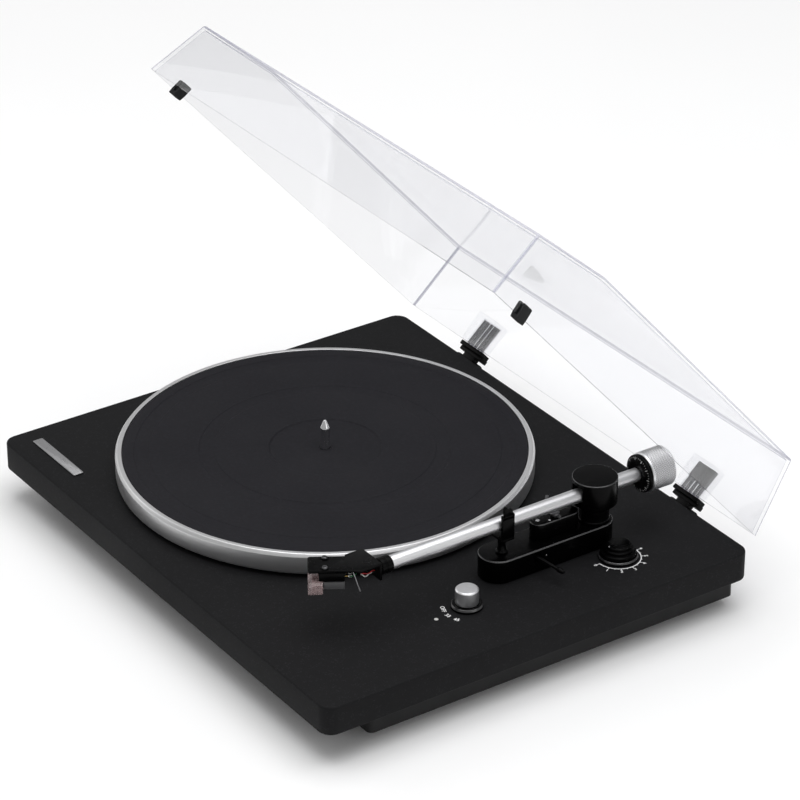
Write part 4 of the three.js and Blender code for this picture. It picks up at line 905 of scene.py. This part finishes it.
edge_rear, edge_front = Vector((right, ELBOW.y - 1)), Vector(on_shell(4, HALF_NOSE))
slant = (edge_front - edge_rear).normalized()
lift_root = (edge_rear + edge_front) / 2 + Vector((-slant.y, slant.x)) * 0.3
stations = ((0, 0, 0), (0.2, 0.6, 0.1), (0.6, 1.4, 0.5), (0.985, 1.8, 0.985))
finger = curve_points([(lift_root.x + 11.3 * out, lift_root.y - ahead, 45.4 - 8.5 * down)
                       for out, ahead, down in stations])
radii = [0.42] * (len(finger) - 3) + [0.5, 0.55, 0.4]
add("finger_lift", sweep(finger, radii, 16), "tonearm", dark_steel, ["finger_lift"])

low, high = deck_box("cartridge_body")
parts = [shell_block(4.8, 22, 8.5, low.z, high.z, 0.4), shell_block(4.7, 7.0, 7.0, low.z + 0.8,
                                                                    high.z - 0.6, 0.2),
         shell_block(21, 22.05, 6.2, low.z + 0.8, high.z - 1.0, 0.2)]
add("cartridge", together(*parts), "tonearm", satin_black, ["cartridge_body"])
pins = []
boots = []
colours = (blue_plastic, green_plastic, white_plastic, red_plastic)
back = Vector((-FORWARD.x, -FORWARD.y, 0))
for i, (t, z) in enumerate(((-4.5, low.z + 1.6), (4.5, low.z + 1.6), (-4.5, high.z - 2), (4.5, high.z - 2))):
    start = Vector((*on_shell(4.8, t), z))
    pins.append(sweep([start, start + back * 1.5, start + back * 3.6], 0.5, 12))
    sleeve = start + back * 2.2
    wall_x = ELBOW.x - 4.5 + 3.2 * i
    wall_z = 35.0 + (i % 2) * 3.6
    path = curve_points([sleeve, sleeve + back * 3, Vector((wall_x - 0.8, -93.5, wall_z - 1.2)),
                         Vector((wall_x, -90, wall_z)), Vector((wall_x, -87.6, wall_z))])
    line = sweep(path, 0.45, 12)
    add("lead_%d" % i, line, "tonearm", colours[i])
    boots.append(sweep([sleeve, sleeve + back * 0.5, sleeve + back * 2.6], [0.7, 0.85, 0.8], 16))
add("cartridge_pins", together(*pins), "tonearm", brass)
add("lead_boots", together(*boots), "tonearm", white_plastic)

high = deck_box("stylus_unit")[1]
block_low = 30.8
unit = [shell_block(4.8, 19, 7.5, block_low, high.z, 0.5),
        shell_block(18.5, 20.5, 2.8, block_low + 0.4, high.z - 1.2, 0.4)]
start = Vector((*on_shell(18, 0), block_low + 1.4))
end = Vector((*on_shell(24, 0), block_low - 1.7))
unit.append(sweep([start, (start + end) / 2, end], [0.55, 0.45, 0.35], 14))
tip_start = end + Vector((0, 0, 0.2))
unit.append(sweep([tip_start, end - Vector((0, 0, 0.45))], [0.25, 0.05], 10))
add("stylus", together(*unit), "tonearm", grey_plastic, ["stylus_unit"])

low, high = deck_box("stylus_guard")
hood_top = low.z + 10
hood = shell_block(19.3, NOSE, 8.8, low.z, hood_top, 0.7)
hollow = shell_block(15, NOSE - 2.6, 7.8, low.z + 1, hood_top - 1, 0.4)
nose = shell_block(NOSE - 2.8, NOSE, 8.8, hood_top - 1.2, high.z, 0.6)
guard = carved(carved(hood, nose, operation="UNION"), hollow, shell_block(3, 22.3, 10, 37.4, 44, 0))
add("guard", guard, "stylus_guard", clear_guard, ["stylus_guard"])


# ------------------------------------------------------------------ counterweight

KNURL = math.tau * 14.4 / 60


def knurled(radius, start, end, depth, across, along):
    """The rim of the weight: a diamond pattern pressed into a cylinder along Z."""
    bm = bmesh.new()
    rings = []
    groove_shade_points = []
    for j in range(along + 1):
        z = start + (end - start) * j / along
        fade = min(1, j / 2, (along - j) / 2)
        ring = []
        for i in range(across):
            a = math.tau * i / across
            u = radius * a
            first = abs((((u + z) / KNURL) % 1) * 2 - 1)
            second = abs((((u - z) / KNURL) % 1) * 2 - 1)
            r = radius - depth * (1 - min(first, second) * 1.6 if min(first, second) < 0.6 else 0.04) * fade
            ring.append(bm.verts.new((r * math.cos(a), r * math.sin(a), z)))
            groove_shade_points.append(min(first, second) < 0.28 and fade > 0)
        rings.append(ring)
    for j, (a, b) in enumerate(zip(rings, rings[1:])):
        for i in range(across):
            k = (i + 1) % across
            face = bm.faces.new((a[i], a[k], b[k], b[i]))
            # Faces in the grooves get the darker second material, which is painted shade.
            face.material_index = 1 if groove_shade_points[j * across + i] else 0
    return bm


low, high = deck_box("counterweight")
radius = (high.x - low.x) / 2
inner = 6.3
pitch_steps = 74
rim = knurled(radius, low.y + 1.2, high.y - 1.2, 0.3, pitch_steps * 5, 60)
front = lathe(eased([(radius, low.y + 1.2), (radius - 0.7, low.y), (radius - 3, low.y), (inner, low.y),
                     (inner, (low.y + high.y) / 2)], 0.2), pitch_steps * 5)
rear = lathe(eased([(radius, high.y - 1.2), (radius - 0.7, high.y), (9.6, high.y), (9.2, high.y - 0.6),
                    (7.6, high.y - 0.6), (7.2, high.y), (inner, high.y), (inner, (low.y + high.y) / 2)],
                    0.15),
             pitch_steps * 5)
weight = together(rim, front, rear)
weld(weight)
# The knurl's grooves take the darker groove material: painted shade.
add("weight", on_tube(weight), "counterweight", weight_metal, ["counterweight"],
    smooth=40, also=[groove_shade_metal])

low, high = deck_box("force_dial")
disc = [(5.3, low.y), (9, low.y), (13.1, low.y + 1.2), (13.7, low.y + 1.7), (13.7, high.y), (5.3, high.y)]
add("dial", on_tube(turned_ring(disc, 0.2, 128)), "force_dial", satin_black,
    ["force_dial"])
ticks = []
for i in range(40):
    a = math.tau * i / 40
    long = i % 4 == 0
    inner, outer = (10.6 if long else 11.6), 12.5
    wide = 0.16 if long else 0.08
    points = []
    for r, w in ((inner, -wide), (outer, -wide), (outer, wide), (inner, wide)):
        y = low.y + (r - 9) / 4.1 * 1.2 - 0.03
        points.append((r * math.cos(a) - w * math.sin(a), y, r * math.sin(a) + w * math.cos(a)))
    bm = bmesh.new()
    bm.faces.new([bm.verts.new(p) for p in points])
    shifted = bmesh.ops.extrude_face_region(bm, geom=list(bm.faces))
    for vert in [v for v in shifted["geom"] if isinstance(v, bmesh.types.BMVert)]:
        vert.co.y += 0.1
    face_out(bm)
    ticks.append(bm)
add("dial_ticks", moved(together(*ticks), ax, 0, az), "force_dial", print_white)


# ------------------------------------------------------------------ dust cover

HINGE = Vector((0, 180, -9))
OPEN = math.radians(48.5)
COVER = Matrix.Translation(HINGE) @ Matrix.Rotation(-OPEN, 4, "X")
RIM_Y, RIM_Z = -8.6, 13.0
HINGE_X, HALF_HINGE, BARREL = 131.0, 13.5, 4
WIDTH, DEPTH, HEIGHT, FRONT_HEIGHT, BEND, DRAFT, WALL = 417.5, 342.7, 57.3, 47.7, 262.6, 9.0, 2.5
LEAN = DRAFT / HEIGHT


def cover_form(offset, below=0.0, edge=0.0, segments=3):
    """The cover's closed outer form, seen from its hinge axis; a negative offset shrinks it."""
    bm = bmesh.new()

    def pair(depth, height, lean):
        x = WIDTH / 2 + offset - LEAN * height
        y = RIM_Y - depth - lean
        return [bm.verts.new((side * x, y, RIM_Z + height)) for side in (-1, 1)]

    roof = HEIGHT + offset
    front_roof = FRONT_HEIGHT + offset
    rear_low = pair(-LEAN * below, -below, -offset)
    front_low = pair(DEPTH + LEAN * below, -below, offset)
    rear_high = pair(LEAN * roof, roof, -offset)
    bend = pair(BEND, roof, 0)
    front_high = pair(DEPTH - LEAN * front_roof, front_roof, offset)
    for faces in (
        (rear_low[0], rear_low[1], front_low[1], front_low[0]),
        (rear_low[0], rear_high[0], rear_high[1], rear_low[1]),
        (rear_high[0], bend[0], bend[1], rear_high[1]),
        (bend[0], front_high[0], front_high[1], bend[1]),
        (front_high[0], front_low[0], front_low[1], front_high[1]),
        (rear_low[0], front_low[0], front_high[0], bend[0], rear_high[0]),
        (rear_low[1], rear_high[1], bend[1], front_high[1], front_low[1]),
    ):
        bm.faces.new(faces)
    face_out(bm)
    if edge:
        level = RIM_Z - below
        keep = [e for e in bm.edges if not all(abs(v.co.z - level) < 1e-3 for v in e.verts)]
        bmesh.ops.bevel(bm, geom=keep, offset=edge, segments=segments, profile=0.5, affect="EDGES",
                        clamp_overlap=True)
    return bm


shell = carved(cover_form(0, 0, 1.6, 4), cover_form(-WALL, 2, 0.5, 3))


def mark_edges(bm, strip_width=1.75):
    """Gives the rim the second material and the narrow strips along the bends the third, a grey haze that is
    a painted highlight.
    """
    bm.faces.ensure_lookup_table()
    for face in bm.faces:
        centre = face.calc_center_median()
        on_rim = abs(centre.z - RIM_Z) < 0.05
        sides = sorted(edge.calc_length() for edge in face.edges)
        narrow = sides[0] < 1.0 and face.calc_area() < strip_width * sides[-1]
        face.material_index = 1 if on_rim else 2 if narrow else 0
    return bm


add("cover", mark_edges(shell), "dust_cover", clear_cover, ["cover_shell"], place=COVER,
    smooth=25, also=[cover_edge, cover_bend_highlight])

for name, side in (("left", -1), ("right", 1)):
    x = side * HINGE_X
    # A clear pocket outside the rear wall, open below, with two ribs beside the hinge's tongue.
    outside = block((x - HALF_HINGE, RIM_Y - 3.0, RIM_Z), (x + HALF_HINGE, RIM_Y + 8.6, RIM_Z + 25), 1.2, 3)
    inside = block((x - 9.9, RIM_Y + 2.3, RIM_Z - 1), (x + 9.9, RIM_Y + 6.3, RIM_Z + 22.7), 0.3)
    back = cover_form(0, 3)
    pocket = carved(outside, inside, back)
    add("pocket_" + name, pocket, "dust_cover", clear_cover, place=COVER, smooth=25)

    barrel = lying(round_bar(BARREL, -6.5, 6.5, 0.4, 48), "X")
    link = block((-6.5, -4, 0), (6.5, 2, 9.8), 0.5, 3)
    shoulder = block((-HALF_HINGE, -7.5, 9.3), (HALF_HINGE, 2, 12.7), 0.6, 3)
    heel = block((-HALF_HINGE, -4.2, 6.2), (HALF_HINGE, 3, 9.8), 0.6, 3)
    tongue = block((-9.6, -6.0, 12.2), (9.6, -2.6, 35.4), 0.5, 3)
    eye = lying(drill(1.9, -8, 8), "X")
    arm = carved(barrel, eye)
    add("hinge_arm_" + name, moved(together(arm, link, heel, shoulder), x), "dust_cover", satin_black,
        ["hinge_arm_" + name], place=COVER)
    # The ribs take the grey haze of the bends: painted highlight streaks.
    ribs = [block((dx - 0.7, -5.6, 13), (dx + 0.7, -2.9, 34.6), 0.2) for dx in (-8.2, -4.4, 0, 4.4, 8.2)]
    add("hinge_tongue_" + name, moved(tongue, x), "dust_cover", clear_cover, place=COVER)
    add("hinge_ribs_" + name, moved(together(*ribs), x), "dust_cover", cover_bend_highlight, place=COVER)

    face = -4.2
    parts = [block((-HALF_HINGE, face, -8.5), (HALF_HINGE, face + 1.7, -4.7), 0.3)]
    for ear in (-1, 1):
        x0, x1 = sorted((ear * 6.8, ear * HALF_HINGE))
        parts.append(block((x0, face, -8.5), (x1, face + 1.7, 4), 0.3))
        parts.append(block((x0, face, -4), (x1, 0, 4), 0.3))
        parts.append(lying(round_bar(BARREL, x0, x1, 0.4, 48), "X"))
    parts.append(lying(round_bar(1.6, -HALF_HINGE, HALF_HINGE), "X"))
    add("bracket_" + name, moved(together(*parts), x, HINGE.y, HINGE.z), "base", satin_black,
        ["hinge_bracket_" + name])

    # Rubber clip on the side rim: an outer tongue, an inner tongue and the pad under the rim.
    y = RIM_Y - (DEPTH - 32)
    wall_x = WIDTH / 2
    outer = [(side * (wall_x + 0.35 + dx - LEAN * z), z) for dx,
             z in ((0, 8.5), (2.0, 7.8), (2.1, 0), (1.6, -3.6))]
    inner = [(side * (wall_x - WALL - 0.35 - dx - LEAN * z), z) for dx, z in ((0, 8.5), (2.0, 7.8), (2.1, 0),
                                                                             (1.4, -3.6))]
    profile = [outer[0], outer[1], outer[2], outer[3], inner[3], inner[2], inner[1], inner[0]]
    profile += [(side * (wall_x - WALL - 0.35), -0.35), (side * (wall_x + 0.35), -0.35)]
    clip = prism(profile, y - 4.25, y + 4.25, 0.45, 3)
    clip.transform(Matrix(((1, 0, 0, 0), (0, 0, 1, 0), (0, 1, 0, RIM_Z), (0, 0, 0, 1))))
    face_out(clip)
    add("bumper_" + name, clip, "dust_cover", foot_rubber, ["cover_bumper_" + name],
        place=COVER)


# ------------------------------------------------------------------ stage, light and camera

floor_mesh = bmesh.new()
bmesh.ops.create_grid(floor_mesh, x_segments=8, y_segments=8, size=6)
mesh = bpy.data.meshes.new("stage_floor")
floor_mesh.to_mesh(mesh)
floor_mesh.free()
stage_floor = bpy.data.objects.new("stage_floor", mesh)
in_scene(stage_floor)
pale = Surface("stage_pale", (0.97, 0.97, 0.972), 0.85, specular=0.05)
pale.tone(pale.noise(3, 2), (0.965, 0.965, 0.967), (0.975, 0.975, 0.977))
mesh.materials.append(pale.material)

world = bpy.data.worlds.new("studio")
world.use_nodes = True
world.node_tree.nodes["Background"].inputs[0].default_value = (1, 1, 1, 1)
world.node_tree.nodes["Background"].inputs[1].default_value = 0.4
bpy.context.scene.world = world
bpy.context.scene.view_settings.view_transform = "Standard"


def softbox(name, at, aim, width, height, power):
    data = bpy.data.lights.new(name, "AREA")
    data.shape = "RECTANGLE"
    data.size = width
    data.size_y = height
    data.energy = power
    made = bpy.data.objects.new(name, data)
    made.location = at
    made.rotation_euler = (Vector(aim) - Vector(at)).to_track_quat("-Z", "Y").to_euler()
    in_scene(made)
    return made


softbox("overhead", (0.2, 0.1, 2.4), (0, 0, 0), 2.6, 2.6, 50)
softbox("left_side", (-2.0, -0.9, 1.3), (0, 0, 0.1), 1.6, 1.4, 7)
softbox("right_side", (2.3, 0.6, 1.1), (0, 0, 0.1), 1.4, 1.2, 5)

camera_data = bpy.data.cameras.new("camera")
camera_data.lens = 166.8
camera_data.sensor_width = 36
camera_data.clip_end = 50
camera = bpy.data.objects.new("camera", camera_data)
camera.location = DECK + Vector((1881.1, -1257.2, 1332.5)) / 1000
camera_aim = DECK + Vector((-55.0, 66.1, 30)) / 1000
camera.rotation_euler = (camera_aim - camera.location).to_track_quat("-Z", "Y").to_euler()
in_scene(camera)
bpy.context.scene.camera = camera
